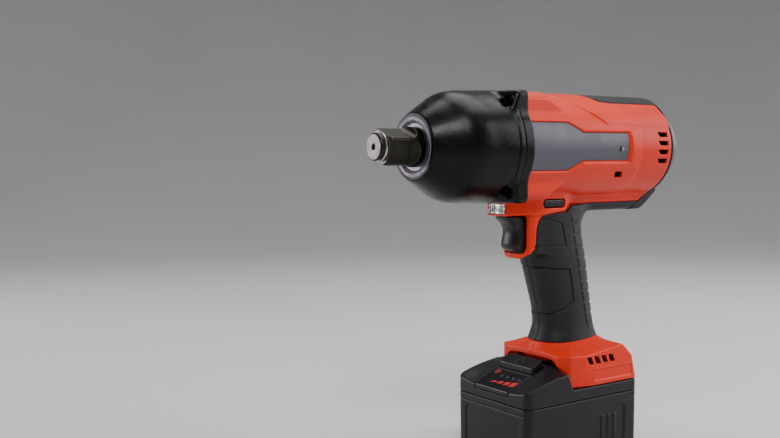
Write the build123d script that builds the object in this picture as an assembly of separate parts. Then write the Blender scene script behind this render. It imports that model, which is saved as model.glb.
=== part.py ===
"""Cordless impact wrench with a 3/4 inch square drive, as an assembly of separate pieces.

Millimetres. +X runs forward along the drive axis, +Y is the tool's left side, +Z is up.
The origin is the centre of the battery pack's base, on the surface that the tool stands on.
"""
import os
from math import acos, cos, pi, radians, sin, tan

from build123d import *

os.makedirs("parts", exist_ok=True)

# ---- Driving dimensions ---------------------------------------------------------------
AXIS_Z = 221.0            # height of the drive axis
FIT = 0.05                # radial running clearance
SLIP = 0.3                # clearance of sliding plastic parts

# Square drive and nose
DRIVE_SQUARE = 19.05      # 3/4 inch, across flats
DRIVE_TWIST = -21.5       # rotation of the square about the drive axis, degrees
TIP_X = 150.0             # front face of the anvil
SHANK_R = 13.0
NOSE_X = 120.0            # front face of the hammer case
NOSE_R = 20.25

# Impact mechanism
CASE_BORE_R = 28.0
CASE_REAR_X = 25.0
CASE_TUBE_R = 30.4
FLANGE_X0, FLANGE_X1 = 48.0, 54.0
BOOT_R = 38.2
HAMMER_R = 27.0
HAMMER_X0, HAMMER_X1 = 53.0, 79.0
CAM_R = 9.0
BALL_R = 3.0
BALL_X = 73.0
EAR_X0, EAR_X1 = 80.5, 92.0
EAR_HALF_ANGLE = 20.0
CARRIER_X0, CARRIER_X1 = 37.0, 44.0
CARRIER_R = 19.0

# Planetary gear: 12-tooth pinion, three 18-tooth planets, 48-tooth ring
MODULE = 1.0
SUN_TEETH, PLANET_TEETH, RING_TEETH = 12, 18, 48
PLANET_ORBIT_R = MODULE * (SUN_TEETH + PLANET_TEETH) / 2
PLANET_ANGLES = (90.0, 210.0, 330.0)
PIN_R = 2.5

# Screws that hold the case flange to the housing
CASE_SCREW_ORBIT = 32.6
CASE_SCREW_ANGLES = (50.0, 130.0, 230.0, 310.0)
CASE_SCREW_R = 2.0

# Motor
SHAFT_R = 4.0
STATOR_R, STATOR_BORE_R = 31.0, 16.3
STACK_X0, STACK_X1 = -46.0, 4.0
BEARING_R, BEARING_WIDTH = 11.0, 7.0
FAN_X0, FAN_X1 = -74.0, -60.0
FAN_R = 28.0

# Housing
BARREL_R = 36.3
BARREL_X0, BARREL_X1 = -90.0, 48.0
SHOULDER_HALF_Y, SHOULDER_HALF_Z, SHOULDER_CUT = 28.3, 36.8, 4.4
LUG_HALF_Y, LUG_HALF_Z, LUG_CUT = 31.4, 37.4, 3.0
WALL = 3.0
GRIP_SKIN = 2.2           # thickness of the soft grip
KEEL_HALF_WIDTH = 12.5
REAR_X = -103.0

# Grip sections from the foot upwards: height, centre x, half depth, half width
GRIP_SECTIONS = (
    (84.0, -14.5, 26.5, 20.0),
    (93.0, -14.2, 23.0, 18.2),
    (106.0, -12.2, 22.6, 17.7),
    (124.0, -8.1, 23.7, 18.0),
    (143.0, -3.6, 25.1, 18.2),
    (160.0, 1.0, 26.0, 18.5),
    (176.0, 1.0, 26.5, 18.5),
)

# Trigger and direction lever
TRIGGER_HALF_WIDTH = 9.0
LEVER_X0, LEVER_X1 = 0.8, 21.2
LEVER_Z = 182.0
LEVER_HALF_WIDTH = 18.2

# Battery pack
PACK_HALF_X, PACK_HALF_Y = 53.7, 37.3
PACK_CORNER_R = 5.0
PACK_SEAM_Z = 46.0
PACK_TOP_Z = 54.2
HOOD_TOP_Z = 70.0
RAIL_HALF_WIDTH, NECK_HALF_WIDTH = 28.0, 25.0
RAIL_X0 = -32.0
RAIL_Z0, RAIL_Z1 = 60.6, 66.0
CELL_R, CELL_LENGTH, CELL_PITCH = 9.0, 65.0, 18.3
FOOT_Z = 54.6


# ---- Helpers ---------------------------------------------------------------------------
def save(name, *solids):
    """Write one node: a single solid, or a group of separate solids."""
    pieces = [s for item in solids for s in item.solids()]
    shape = pieces[0] if len(pieces) == 1 else Compound(children=pieces)
    shape.label = name
    export_step(shape, f"parts/{name}.step")


def tube(x0, x1, r_out, r_in=0.0, y=0.0, z=AXIS_Z):
    """A cylinder or tube along X."""
    plane = Plane(origin=(x0, y, z), x_dir=(0, 1, 0), z_dir=(1, 0, 0))
    face = Circle(r_out)
    if r_in:
        face -= Circle(r_in)
    return extrude(plane * face, amount=x1 - x0)


def block(x0, x1, y0, y1, z0, z1):
    """A box from its corners."""
    size = (x1 - x0, y1 - y0, z1 - z0)
    return Pos((x0 + x1) / 2, (y0 + y1) / 2, (z0 + z1) / 2) * Box(*size)


def turned(*profile, z=AXIS_Z):
    """Revolve a closed outline of (x, radius) points about the X line at height z."""
    face = Face(Wire.make_polygon([Vector(x, 0, z + r) for x, r in profile]))
    return revolve(face, axis=Axis((0, 0, z), (1, 0, 0)), revolution_arc=360)


def side_plate(outline, y0, y1):
    """Extrude an outline of (x, z) points from y0 to y1."""
    face = Face(Wire.make_polygon([Vector(x, y0, z) for x, z in outline]))
    return extrude(face, amount=y1 - y0, dir=(0, 1, 0))


def squared(x0, x1, half_y, half_z, cut):
    """A bar along the drive axis, squared with its four corners cut."""
    bar = block(x0, x1, -half_y, half_y, AXIS_Z - half_z, AXIS_Z + half_z)
    return chamfer(bar.edges().filter_by(Axis.X), cut)


def plan_plate(outline, z0, z1):
    """Extrude an outline of (x, y) points from z0 to z1."""
    face = Face(Wire.make_polygon([Vector(x, y, z0) for x, y in outline]))
    return extrude(face, amount=z1 - z0, dir=(0, 0, 1))


def polar(radius, angle):
    """The (y, z) point at an angle about the drive axis, 0 degrees towards +Y."""
    a = radians(angle)
    return radius * cos(a), AXIS_Z + radius * sin(a)


def spun(solid, angle):
    """Turn a solid about the drive axis."""
    return solid.rotate(Axis((0, 0, AXIS_Z), (1, 0, 0)), angle)


def sector(x0, x1, r_in, r_out, centre, half_angle):
    """A ring sector about the drive axis."""
    wedge = [(0.0, AXIS_Z)]
    for side in (-1, 0, 1):
        wedge.append(polar(r_out * 1.5, centre + side * half_angle))
    points = [Vector(x0, y, z) for y, z in wedge]
    cutter = extrude(Face(Wire.make_polygon(points)), amount=x1 - x0, dir=(1, 0, 0))
    return tube(x0, x1, r_out, r_in) & cutter


def coil(start, direction, length, radius, wire_r, turns):
    """A helical compression spring."""
    path = Helix(pitch=length / turns, height=length, radius=radius, center=start, direction=direction)
    section = Plane(origin=path @ 0, z_dir=path % 0) * Circle(wire_r)
    return sweep(section, path=path, is_frenet=True)


def rounded_slab(x0, x1, half_y, z0, z1, corner):
    """A slab with rounded vertical corners, centred on Y = 0."""
    face = RectangleRounded(x1 - x0, 2 * half_y, corner)
    return extrude(Pos((x0 + x1) / 2, 0, z0) * face, amount=z1 - z0)


# ---- Gears -----------------------------------------------------------------------------
PRESSURE = radians(20)
BACKLASH = 0.12


def gear_outline(teeth, addendum, dedendum, thinning, phase, steps=4):
    """Corner points (y, z) of an involute gear, a tooth centred on the phase angle."""
    pitch_r = MODULE * teeth / 2
    base_r = pitch_r * cos(PRESSURE)
    tip_r, root_r = pitch_r + addendum, pitch_r - dedendum
    start_r = max(base_r, root_r)
    half_pitch_angle = (pi * MODULE / 2 - thinning) / (2 * pitch_r)
    involute_at_pitch = tan(PRESSURE) - PRESSURE

    def half_angle(r):
        roll = acos(min(1.0, base_r / r))
        return half_pitch_angle + involute_at_pitch - (tan(roll) - roll)

    flank = [(root_r, half_angle(start_r))] if root_r < base_r else []
    for i in range(steps + 1):
        r = start_r + (tip_r - start_r) * i / steps
        flank.append((r, half_angle(r)))
    points = []
    for tooth in range(teeth):
        middle = radians(phase) + 2 * pi * tooth / teeth
        points += [(r * cos(middle - a), r * sin(middle - a)) for r, a in flank]
        points += [(r * cos(middle + a), r * sin(middle + a)) for r, a in reversed(flank)]
    return points


def gear(x0, x1, outline, y=0.0, z=AXIS_Z):
    """Extrude a gear outline along X."""
    face = Face(Wire.make_polygon([Vector(x0, y + py, z + pz) for py, pz in outline]))
    return extrude(face, amount=x1 - x0, dir=(1, 0, 0))


# ---- Anvil and nose --------------------------------------------------------------------
def make_anvil():
    """Square drive, shank, and the two ears that the hammer strikes."""
    half = DRIVE_SQUARE / 2
    square_x = 128.0
    corner_r = 12.6
    runout_r = 6.0
    body = turned(
        (EAR_X1, 0), (EAR_X1, 20), (95, 20), (95, SHANK_R), (124, SHANK_R), (square_x, corner_r),
        (143.6, corner_r), (144.8, 11.2), (144.8, 7.2), (146.6, 7.2), (146.6, 8.9),
        (TIP_X - 0.9, 8.9), (TIP_X, 8.0), (TIP_X, 2.2), (TIP_X - 2.0, 0),
    )
    for side in range(4):
        flat = block(square_x, TIP_X + 5, -20, 20, AXIS_Z + half, AXIS_Z + 30)
        runout = Pos(square_x, 0, AXIS_Z + half + runout_r) * Rot(90, 0, 0) * Cylinder(runout_r, 40)
        body -= spun(flat + runout, DRIVE_TWIST + 90 * side)
    hub = tube(EAR_X0, EAR_X1, 13.5)
    for centre in (0, 180):
        hub += sector(EAR_X0, EAR_X1, 12.0, 26.0, centre, EAR_HALF_ANGLE)
    bore = tube(EAR_X0 - 1, 95, 5 + FIT)
    return body + hub - bore


def make_nose():
    """The anvil, its socket retaining ring, bushing, seal and washer."""
    save("anvil", make_anvil())
    ring = turned(
        (144.95, 7.3), (144.95, 9.0), (145.4, 9.5), (146.0, 9.5), (146.45, 9.0), (146.45, 7.3)
    )
    save("friction_ring", ring)
    save("nose_bushing", tube(97, 118.6, 15.3, SHANK_R + FIT))
    save("nose_seal", turned((115, 15.35), (115, 16.8), (119.2, 16.8), (119.2, 15.9), (118.6, 15.35)))


CASE_OUTSIDE = [
    (FLANGE_X0, 35.6), (FLANGE_X1, 35.6), (FLANGE_X1, 34.4), (90, 34.4), (95.5, 33.6), (103.5, 29.2),
    (117.0, NOSE_R), (NOSE_X - 0.8, NOSE_R), (NOSE_X, NOSE_R - 0.8),
]


def case_ears():
    """Four ears of the case flange that take the case screws."""
    ears = [tube(FLANGE_X0, FLANGE_X1, 4.2, y=y, z=z) for y, z in case_screw_points()]
    return ears[0] + ears[1:]


def case_screw_points():
    """The (y, z) centres of the case screws."""
    return [polar(CASE_SCREW_ORBIT, angle) for angle in CASE_SCREW_ANGLES]


def make_hammer_case():
    """Cast case: gear tube, flange with four ears, striking chamber and nose."""
    case = turned(
        (CASE_REAR_X, 0), (CASE_REAR_X, CASE_TUBE_R), (FLANGE_X0, CASE_TUBE_R), *CASE_OUTSIDE, (NOSE_X, 0)
    )
    case += case_ears()
    case -= turned(
        (CASE_REAR_X - 1, 0), (CASE_REAR_X - 1, CASE_BORE_R), (93, CASE_BORE_R), (95.3, 21), (95.3, 15.3),
        (115, 15.3), (115, 16.8), (119.2, 16.8), (119.6, 17.2), (NOSE_X + 1, 17.2), (NOSE_X + 1, 0),
    )
    for y, z in case_screw_points():
        case -= tube(40, FLANGE_X1 + 1, CASE_SCREW_R + 0.1, y=y, z=z)
        case -= tube(FLANGE_X1, 68, 3.6, y=y, z=z)
    save("hammer_case", case)


def make_nose_boot():
    """Protective cover over the hammer case, with scoops for the case screws."""
    rear_x = FLANGE_X0 + 0.2
    boot = turned(
        (rear_x, 0), (rear_x, BOOT_R), (55.6, BOOT_R), (56.2, 37.4), (56.8, BOOT_R), (60.4, 38.1),
        (61.2, 37.3), (62.0, 38.1), (91, 36.9), (95.5, 36.1), (99.5, 34.5), (104, 31.6), (119.0, 22.3),
        (119.6, 21.8), (119.6, 0),
    )
    envelope = turned((0, 0), (0, 35.6), *CASE_OUTSIDE[1:7], (125, NOSE_R), (125, 0)) + case_ears()
    boot += squared(rear_x, 57.0, LUG_HALF_Y, LUG_HALF_Z, LUG_CUT)
    boot -= envelope
    for y, z in case_screw_points():
        lift = 1.04
        boot -= tube(58.5, 66, 4.2, y=y * lift, z=AXIS_Z + (z - AXIS_Z) * lift)
        boot -= tube(FLANGE_X1, 66, 3.5, y=y, z=z)
    save("nose_boot", biggest(boot))
    screws = []
    for y, z in case_screw_points():
        head = tube(FLANGE_X1, FLANGE_X1 + 3.4, 3.3, y=y, z=z)
        socket = tube(FLANGE_X1 + 1.4, FLANGE_X1 + 4, 1.6, y=y, z=z)
        screws.append(head + tube(29, FLANGE_X1, CASE_SCREW_R, y=y, z=z) - socket)
    save("case_screws", *screws)


# ---- Hammer, camshaft and gears --------------------------------------------------------
def make_hammer():
    """Sliding hammer with two lugs, a spring pocket and ball channels."""
    spring_pocket_end = 68.0
    hammer = turned(
        (HAMMER_X0, 19.5), (HAMMER_X0, HAMMER_R - 1.5), (HAMMER_X0 + 1.5, HAMMER_R), (HAMMER_X1, HAMMER_R),
        (HAMMER_X1, CAM_R + FIT), (56, CAM_R + FIT), (56, 11.5), (spring_pocket_end, 11.5),
        (spring_pocket_end, 19.5),
    )
    for centre in (90, 270):
        hammer += sector(HAMMER_X1 - 2, 87.5, 14.2, HAMMER_R, centre, 22)
    for angle in (0, 180):
        y, z = polar(CAM_R, angle)
        hammer -= tube(BALL_X - BALL_R - 0.1, 90, BALL_R + 0.1, y=y, z=z)
    save("hammer", hammer)
    washer_x = CARRIER_X1 + 1.2
    save("thrust_washer", tube(CARRIER_X1, washer_x, CARRIER_R, CAM_R + 0.3))
    save("hammer_spring", coil((washer_x + 1.8, 0, AXIS_Z), (1, 0, 0), 19.0, 15.4, 1.6, 4.0))


def make_camshaft():
    """Camshaft with the planet carrier at its rear, and the parts that ride on it."""
    shaft = turned(
        (CARRIER_X0, 0), (CARRIER_X0, CARRIER_R), (CARRIER_X1, CARRIER_R), (CARRIER_X1, CAM_R),
        (EAR_X0 - 0.5, CAM_R), (EAR_X0 - 0.5, 5), (94, 5), (94, 0),
    )
    balls = []
    for angle in (0, 180):
        y, z = polar(CAM_R, angle)
        shaft -= Pos(BALL_X, y, z) * Sphere(BALL_R + 0.02)
        balls.append(Pos(BALL_X, y, z) * Sphere(BALL_R))
    pins = []
    for angle in PLANET_ANGLES:
        y, z = polar(PLANET_ORBIT_R, angle)
        shaft -= tube(CARRIER_X0 - 1, CARRIER_X1 + 1, PIN_R, y=y, z=z)
        pins.append(tube(28, CARRIER_X1, PIN_R, y=y, z=z))
    save("camshaft", shaft)
    save("cam_balls", *balls)
    save("planet_pins", *pins)


def make_gears():
    """Pinion, three planets and the fixed ring."""
    addendum, dedendum = 0.88, 1.25
    for number, angle in enumerate(PLANET_ANGLES, start=1):
        y, z = polar(PLANET_ORBIT_R, angle)
        phase = angle + 180 / PLANET_TEETH
        outline = gear_outline(PLANET_TEETH, addendum, dedendum, BACKLASH, phase)
        save(f"planet_gear_{number}", gear(28.6, 36.4, outline, y, z) - tube(28, 37, PIN_R + FIT, y=y, z=z))
    pinion = gear(28.0, 36.4, gear_outline(SUN_TEETH, addendum, dedendum, BACKLASH, PLANET_ANGLES[0]))
    save("motor_pinion", pinion - tube(27, 37, 3.0))
    space_phase = PLANET_ANGLES[0] + 180 / RING_TEETH
    space = gear(26, 38, gear_outline(RING_TEETH, 1.2, 0.75, -BACKLASH, space_phase, steps=3))
    save("ring_gear", tube(27.2, CARRIER_X0, CASE_BORE_R - FIT) - space)


def bearing(x0, width, r_in, r_out, ball_r, balls):
    """Two rings and the balls between them."""
    middle = (r_in + r_out) / 2
    parts = [
        tube(x0, x0 + width, middle - ball_r - 0.05, r_in),
        tube(x0, x0 + width, r_out, middle + ball_r + 0.05),
    ]
    for i in range(balls):
        y, z = polar(middle, 360 * i / balls)
        parts.append(Pos(x0 + width / 2, y, z) * Sphere(ball_r))
    return parts


def make_gearbox():
    """Gearbox plate behind the ring gear, and the bearings of the carrier and the motor."""
    plate = turned(
        (14, BEARING_R), (14, 14), (20, 14), (20, CASE_TUBE_R), (CASE_REAR_X, CASE_TUBE_R),
        (CASE_REAR_X, CASE_BORE_R - FIT), (27.2, CASE_BORE_R - FIT), (27.2, 5.5), (21, 5.5), (21, BEARING_R),
    )
    save("gearbox_plate", plate)
    save("carrier_bearing", *bearing(37.5, 6.0, CARRIER_R + FIT, CASE_BORE_R - FIT, 1.8, 16))
    save("front_bearing", *bearing(14, BEARING_WIDTH, SHAFT_R, BEARING_R, 1.9, 8))
    save("rear_bearing", *bearing(-90, BEARING_WIDTH, SHAFT_R, BEARING_R, 1.9, 8))


# ---- Motor -----------------------------------------------------------------------------
def stator_section(shoe):
    """Stator ring with six teeth, and tooth shoes if asked."""
    teeth = 6
    face = Circle(STATOR_R) - Circle(26.0)
    for i in range(teeth):
        face += Rot(0, 0, 60 * i) * Pos(22.3, 0) * Rectangle(9.4, 7.0)
    if shoe:
        ring = Circle(18.4) - Circle(STATOR_BORE_R)
        for i in range(teeth):
            ring -= Rot(0, 0, 60 * i + 30) * Pos(17, 0) * Rectangle(8, 3.0)
        face += ring
    return face


def along_axis(face, x0, x1):
    """Extrude a section along the drive axis."""
    plane = Plane(origin=(x0, 0, AXIS_Z), x_dir=(0, 1, 0), z_dir=(1, 0, 0))
    return extrude(plane * face, amount=x1 - x0)


def make_motor():
    """Brushless motor: stator, coils, rotor, fan and sensor board."""
    insulator = 1.5
    save("motor_stator", along_axis(stator_section(True), STACK_X0, STACK_X1))
    ends = [
        along_axis(stator_section(False), STACK_X0 - insulator, STACK_X0),
        along_axis(stator_section(False), STACK_X1, STACK_X1 + insulator),
    ]
    save("stator_insulators", *ends)
    coils = []
    reach = insulator + 4.6
    gap = 0.1
    for i in range(6):
        z0, z1 = AXIS_Z + 18.9, AXIS_Z + 24.9
        outer = block(STACK_X0 - reach, STACK_X1 + reach, -7.0, 7.0, z0, z1)
        inner = block(STACK_X0 - insulator - gap, STACK_X1 + insulator + gap, -3.6, 3.6, z0 - 1, z1 + 1)
        winding = fillet(outer.edges().filter_by(Axis.Z), 3.0) - inner
        coils.append(spun(winding, 60 * i + 30))
    save("stator_windings", *coils)
    save("rotor_core", tube(STACK_X0, STACK_X1, STATOR_BORE_R - 0.5, SHAFT_R))
    save("rotor_shaft", tube(-92, 27.6, SHAFT_R) + tube(27.6, 36.4, 3.0))
    board = tube(-56.2, -54.6, 29, 12) - block(-57, -54, -4, 4, AXIS_Z - 35, AXIS_Z - 24)
    save("hall_board", board)
    fan = tube(FAN_X1 - 1.6, FAN_X1, FAN_R, SHAFT_R) + tube(FAN_X0, FAN_X1, 8, SHAFT_R)
    blades = 13
    for i in range(blades):
        blade = block(FAN_X0, FAN_X1 - 1, -0.6, 0.6, AXIS_Z + 12, AXIS_Z + FAN_R - 0.3)
        fan += spun(blade.rotate(Axis((0, 0, AXIS_Z + 20), (1, 0, 0)), 30), 360 * i / blades)
    save("cooling_fan", fan)


# ---- Housing ---------------------------------------------------------------------------
def grip_section(z, centre, half_depth, half_width, inset):
    """A superellipse section across the grip."""
    power, count = 2.0 / 2.35, 20
    a, b = half_depth - inset, half_width - inset
    points = []
    for i in range(count):
        t = 2 * pi * i / count
        c, s = cos(t), sin(t)
        x = centre + a * abs(c) ** power * (1 if c > 0 else -1)
        y = b * abs(s) ** power * (1 if s > 0 else -1)
        points.append((x, y, z))
    return Face(Wire([Edge.make_spline([Vector(*p) for p in points], periodic=True)]))


def grip_form(inset, bottom=None, top=None):
    """The grip column, smaller all round by an inset."""
    column = loft([grip_section(*section, inset) for section in GRIP_SECTIONS])
    low = bottom if bottom is not None else GRIP_SECTIONS[0][0]
    high = top if top is not None else GRIP_SECTIONS[-1][0]
    return column & block(-80, 80, -60, 60, low, high)


def mirrored_plan(half):
    """A closed outline in plan from its +Y side."""
    return [(x, -y) for x, y in half] + [(x, y) for x, y in reversed(half)]


def guard_form():
    """Frame round the trigger: a block behind it with a chin below."""
    back = block(-6, 28.4, -15, 15, 146, 180)
    back = fillet(back.edges().filter_by(Axis.Z).sort_by(Axis.X)[-2:], 4.5)
    chin_side = [(4, 143.4), (30, 142.2), (36.5, 144.6), (37.8, 147.2), (30, 148.5), (4, 150)]
    chin_half = [(0, 12.5), (26.5, 12.5), (36, 8), (38.5, 3)]
    chin = side_plate(chin_side, -15, 15) & plan_plate(mirrored_plan(chin_half), 140, 152)
    return back + chin


def shoulder_form():
    """Squared front of the barrel, its four corners sloping down to the round part behind."""
    shoulder = squared(4, BARREL_X1, SHOULDER_HALF_Y, SHOULDER_HALF_Z, SHOULDER_CUT)
    for side in (-1, 1):
        for end in (-1, 1):
            normal = (-0.467, 0.441 * side, 0.767 * end)
            plane = Plane(origin=(12, 28.1 * side, AXIS_Z + 23.6 * end), z_dir=normal)
            shoulder -= extrude(plane * Rectangle(200, 200), amount=100)
    return shoulder


def brow_form():
    """Housing between the barrel and the trigger, narrowing forward to the lamp."""
    profile = [
        (49.0, 174), (49.0, 192), (-14, 192), (-14, 181), (-6, 180.6), (0.5, 175.6), (26, 174.6), (46, 173.8)
    ]
    half = [(-16, 12.5), (-9, 13.5), (-3, 16.8), (3, 18), (20, 18), (34, 15), (44, 11.2), (49.0, 10)]
    return side_plate(profile, -20, 20) & plan_plate(mirrored_plan(half), 170, 196)


def keel_form(shrink=0.0, x0=-90.0, x1=-8.5):
    """Spine under the rear of the barrel."""
    w = KEEL_HALF_WIDTH - shrink
    outline = [
        (-w, 195), (-w, 181), (-w + 1.5, 176.5 + shrink), (-w + 4, 174.2 + shrink), (w - 4, 174.2 + shrink),
        (w - 1.5, 176.5 + shrink), (w, 181), (w, 195),
    ]
    face = Face(Wire.make_polygon([Vector(x0, y, z) for y, z in outline]))
    return extrude(face, amount=x1 - x0, dir=(1, 0, 0))


def foot_form():
    """Foot that takes the battery pack."""
    skirt = side_plate(
        [(10.9, FOOT_Z), (19.5, 70), (14.9, 75), (-38, 80.2), (-47.6, 71.8), (-51.6, FOOT_Z)], -37.1, 37.1
    )
    skirt &= rounded_slab(-52, 40, 37.1, 50, 90, 3.0)
    lower = Plane(origin=(-15.5, 0, 74.8)) * RectangleRounded(57, 72, 8)
    upper = Plane(origin=(-14.5, 0, 86)) * RectangleRounded(54, 42, 18)
    return skirt + loft([lower.face(), upper.face()])


def top_pad_form(r_out, r_in):
    """Soft pad over the rear top of the barrel, coming to a point in front."""
    plan = [(-17, 0), (-33, 31.4), (BARREL_X0, 31.4), (BARREL_X0, -31.4), (-33, -31.4)]
    upper = plan_plate(plan, AXIS_Z + 8, AXIS_Z + 45)
    return (tube(BARREL_X0, 0, r_out, r_in) + hump_form(BARREL_X0, 0, 0.3) - tube(-100, 10, r_in)) & upper


def hump_form(x0, x1, rise=0.0):
    """Low ridge along the top of the barrel."""
    return tube(x0, x1, 22 + rise, z=258.4 - 22) - block(x0, x1, -40, 40, 180, AXIS_Z + 20)


INLAY_OUTLINE = [
    (47.9, 238), (12, 238), (-1, 231.6), (-45, 231.6), (-45, 211.4), (-1, 211.4), (12, 205), (47.9, 205)
]
INLAY_R0, INLAY_R1 = BARREL_R - 1.4, BARREL_R + 0.2
# Clamshell screws, driven from the right: x, z, and how far from the parting plane the head sits
HOUSING_SCREWS = (
    (-82.0, 182.5, 7.5), (-28.0, 182.5, 7.5), (33.0, 180.0, 11.0), (-19.0, 112.0, 12.0), (-40.0, 73.0, 12.0),
    (8.0, 72.0, 12.0),
)


def housing_solid():
    """The whole red housing, before it is parted into halves."""
    body = tube(BARREL_X0, BARREL_X1, BARREL_R) + hump_form(BARREL_X0, BARREL_X1) + shoulder_form()
    for y, z in case_screw_points():
        body += tube(13, BARREL_X1, 5.0, y=y, z=z)
    body += keel_form(2.0) + (keel_form() & block(-96.5, 0, -40, 40, 181, 195))
    body += brow_form() + guard_form() + foot_form()
    body += grip_form(GRIP_SKIN, bottom=80)

    inside = tube(-100, 60, BARREL_R - WALL)
    inside += block(-88, -12, -8.5, 8.5, 178.6, 200) + block(-14, 40, -9.6, 9.6, 186, 200)
    inside += grip_form(GRIP_SKIN + 2.8, bottom=80, top=176) - guard_form() - brow_form()
    inside += block(-14, 19, -9.6, 9.6, 148, 179)
    inside += block(-42, 4, -19, 19, 70, 86) & grip_form(GRIP_SKIN + 2.8)
    inside += block(-44, 4, -30, 30, 70, 73.4)
    inside += block(-35, 8, -14, 14, 73, 88)
    body -= inside

    rib = tube(20, 26, BARREL_R - 1, CASE_TUBE_R + FIT) + tube(-47, -41, BARREL_R - 1, STATOR_R + FIT)
    rib += tube(-1, 5, BARREL_R - 1, STATOR_R + FIT)
    body += rib
    for y, z in case_screw_points():
        body += tube(22, BARREL_X1, 4.6, y=y, z=z)
        body -= tube(26, 60, CASE_SCREW_R, y=y, z=z)
    body -= tube(19.5, 60, CASE_TUBE_R + FIT)
    body -= tube(BARREL_X1, 60, BOOT_R + 0.2)
    body -= squared(BARREL_X1, 60, LUG_HALF_Y + 0.2, LUG_HALF_Z + 0.2, LUG_CUT)
    return body


def housing_cutouts():
    """Openings for the trigger, lever, lamp, battery rails, vents, inlays and pads."""
    cuts = block(16.4, 60, -9.4, 9.4, 147.6, 173.7)
    cuts += block(LEVER_X0 - SLIP, LEVER_X1 + SLIP, -30, 30, LEVER_Z - 3.3, LEVER_Z + 3.3)
    cuts += block(43, 60, -8.5, 8.5, 175.1, 182.4)
    cuts += block(-46.8, 60, -NECK_HALF_WIDTH - SLIP, NECK_HALF_WIDTH + SLIP, 50, RAIL_Z0)
    cuts += block(-46.8, 60, -RAIL_HALF_WIDTH - SLIP, RAIL_HALF_WIDTH + SLIP, RAIL_Z0 - SLIP, RAIL_Z1 + SLIP)
    cuts += block(-6, 60, -8, 8, RAIL_Z1, 68.2)
    for z in (230.0, 223.7, 217.4, 211.0):
        slot = side_plate([(-85, z - 1.6), (-77.5, z - 1.6), (-75, z + 1.6), (-85, z + 1.6)], -50, 50)
        cuts += slot
    cuts += side_plate([(-41, 201), (-37, 201), (-36, 204), (-40, 204)], -50, 50)
    cuts += top_pad_form(BARREL_R + 3, BARREL_R - 1.6)
    for side in (-1, 1):
        cuts += inlay_form(side)
        cuts += tube_y(-36.6, 219.6, 1.5, side * 30, side * 40)
    return cuts


def tube_y(x, z, r, y0, y1):
    """A cylinder along Y."""
    low, high = min(y0, y1), max(y0, y1)
    return Pos(x, (low + high) / 2, z) * Rot(90, 0, 0) * Cylinder(r, high - low)


def inlay_form(side):
    """Thin plate let into one flank of the barrel."""
    y0, y1 = (10, 60) if side > 0 else (-60, -10)
    plate = side_plate(INLAY_OUTLINE, y0, y1)
    return tube(-50, 48, INLAY_R1, INLAY_R0) & plate


def make_housing():
    """Two clamshell halves with their screws, inlays, pads and the rear cap."""
    body = housing_solid() - housing_cutouts()
    recesses, screws = [], []
    for x, z, reach in HOUSING_SCREWS:
        body += tube_y(x, z, 3.4, -reach, reach)
        shank = tube_y(x, z, 1.5, -reach, reach - 2)
        recesses.append(shank + tube_y(x, z, 2.9, -60, -reach))
        head = tube_y(x, z, 2.8, -reach - 2.4, -reach) - tube_y(x, z, 1.2, -reach - 4, -reach - 1)
        screws.append(shank + head)
    for recess in recesses:
        body -= recess
    save("housing_left", biggest(body & block(-120, 70, 0, 60, 40, 280)))
    save("housing_right", biggest(body & block(-120, 70, -60, 0, 40, 280)))
    save("housing_screws", *screws)


def biggest(shape):
    """The largest solid of a shape."""
    return max(shape.solids(), key=lambda s: s.volume)


def make_covers():
    """Inlays, soft grips, rear pad and rear cap."""
    for name, side in (("left", 1), ("right", -1)):
        plate = inlay_form(side) - tube_y(-36.6, 219.6, 1.6, side * 30, side * 40)
        save(f"inlay_{name}", plate)
        y0, y1 = (0, 60) if side > 0 else (-60, 0)
        skin = grip_form(0.0, bottom=86.2, top=175) - grip_form(GRIP_SKIN)
        skin -= guard_form() + brow_form() + foot_form()
        strip = keel_form() & block(-96.5, -9, -40, 40, 170, 181)
        strip -= keel_form(2.0) + brow_form() + grip_form(GRIP_SKIN)
        cover = (skin + strip) & block(-120, 70, y0, y1, 80, 200)
        for x, z, reach in HOUSING_SCREWS:
            cover -= tube_y(x, z, 2.9, -60, -reach)
        save(f"grip_{name}", biggest(cover))
    save("inlay_screws", *[tube_y(-36.6, 219.6, 1.5, side * 33.4, side * 36.6) for side in (-1, 1)])
    pad = top_pad_form(BARREL_R + 1.0, BARREL_R - 1.6)
    rim = turned(
        (BARREL_X0, 33.3), (BARREL_X0, 36.6), (-91.2, 36.3), (-93.4, 34.1), (-93.4, 31.3), (-93, 31.3)
    )
    heel = keel_form(0.0, -94.0, BARREL_X0)
    heel = fillet(heel.faces().sort_by(Axis.X)[0].edges(), 1.2) - tube(-110, -80, 33)
    save("rear_bumper", biggest(pad + rim + heel))
    cap = turned(
        (-93, 31.25), (-99.5, 31.2), (-101.8, 30.2), (-102.8, 28.2), (REAR_X, 26.0), (REAR_X, 0), (-100.4, 0),
        (-100.4, 24.4), (-99.0, 27.6), (-93, 28.2),
    )
    cap += tube(-101, -83.5, 13.8) - tube(-98, -80, SHAFT_R + 2) - tube(-90, -80, BEARING_R)
    spokes = 3
    for i in range(spokes):
        cap += spun(block(-101, -94, -1.5, 1.5, AXIS_Z + 12, AXIS_Z + 28.1), 120 * i)
    for i in range(10):
        if i in (0, 5):
            continue
        cap -= spun(block(-110, -98, -1.3, 1.3, AXIS_Z + 15, AXIS_Z + 22), 36 * i + 18)
    save("rear_cap", cap)


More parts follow.
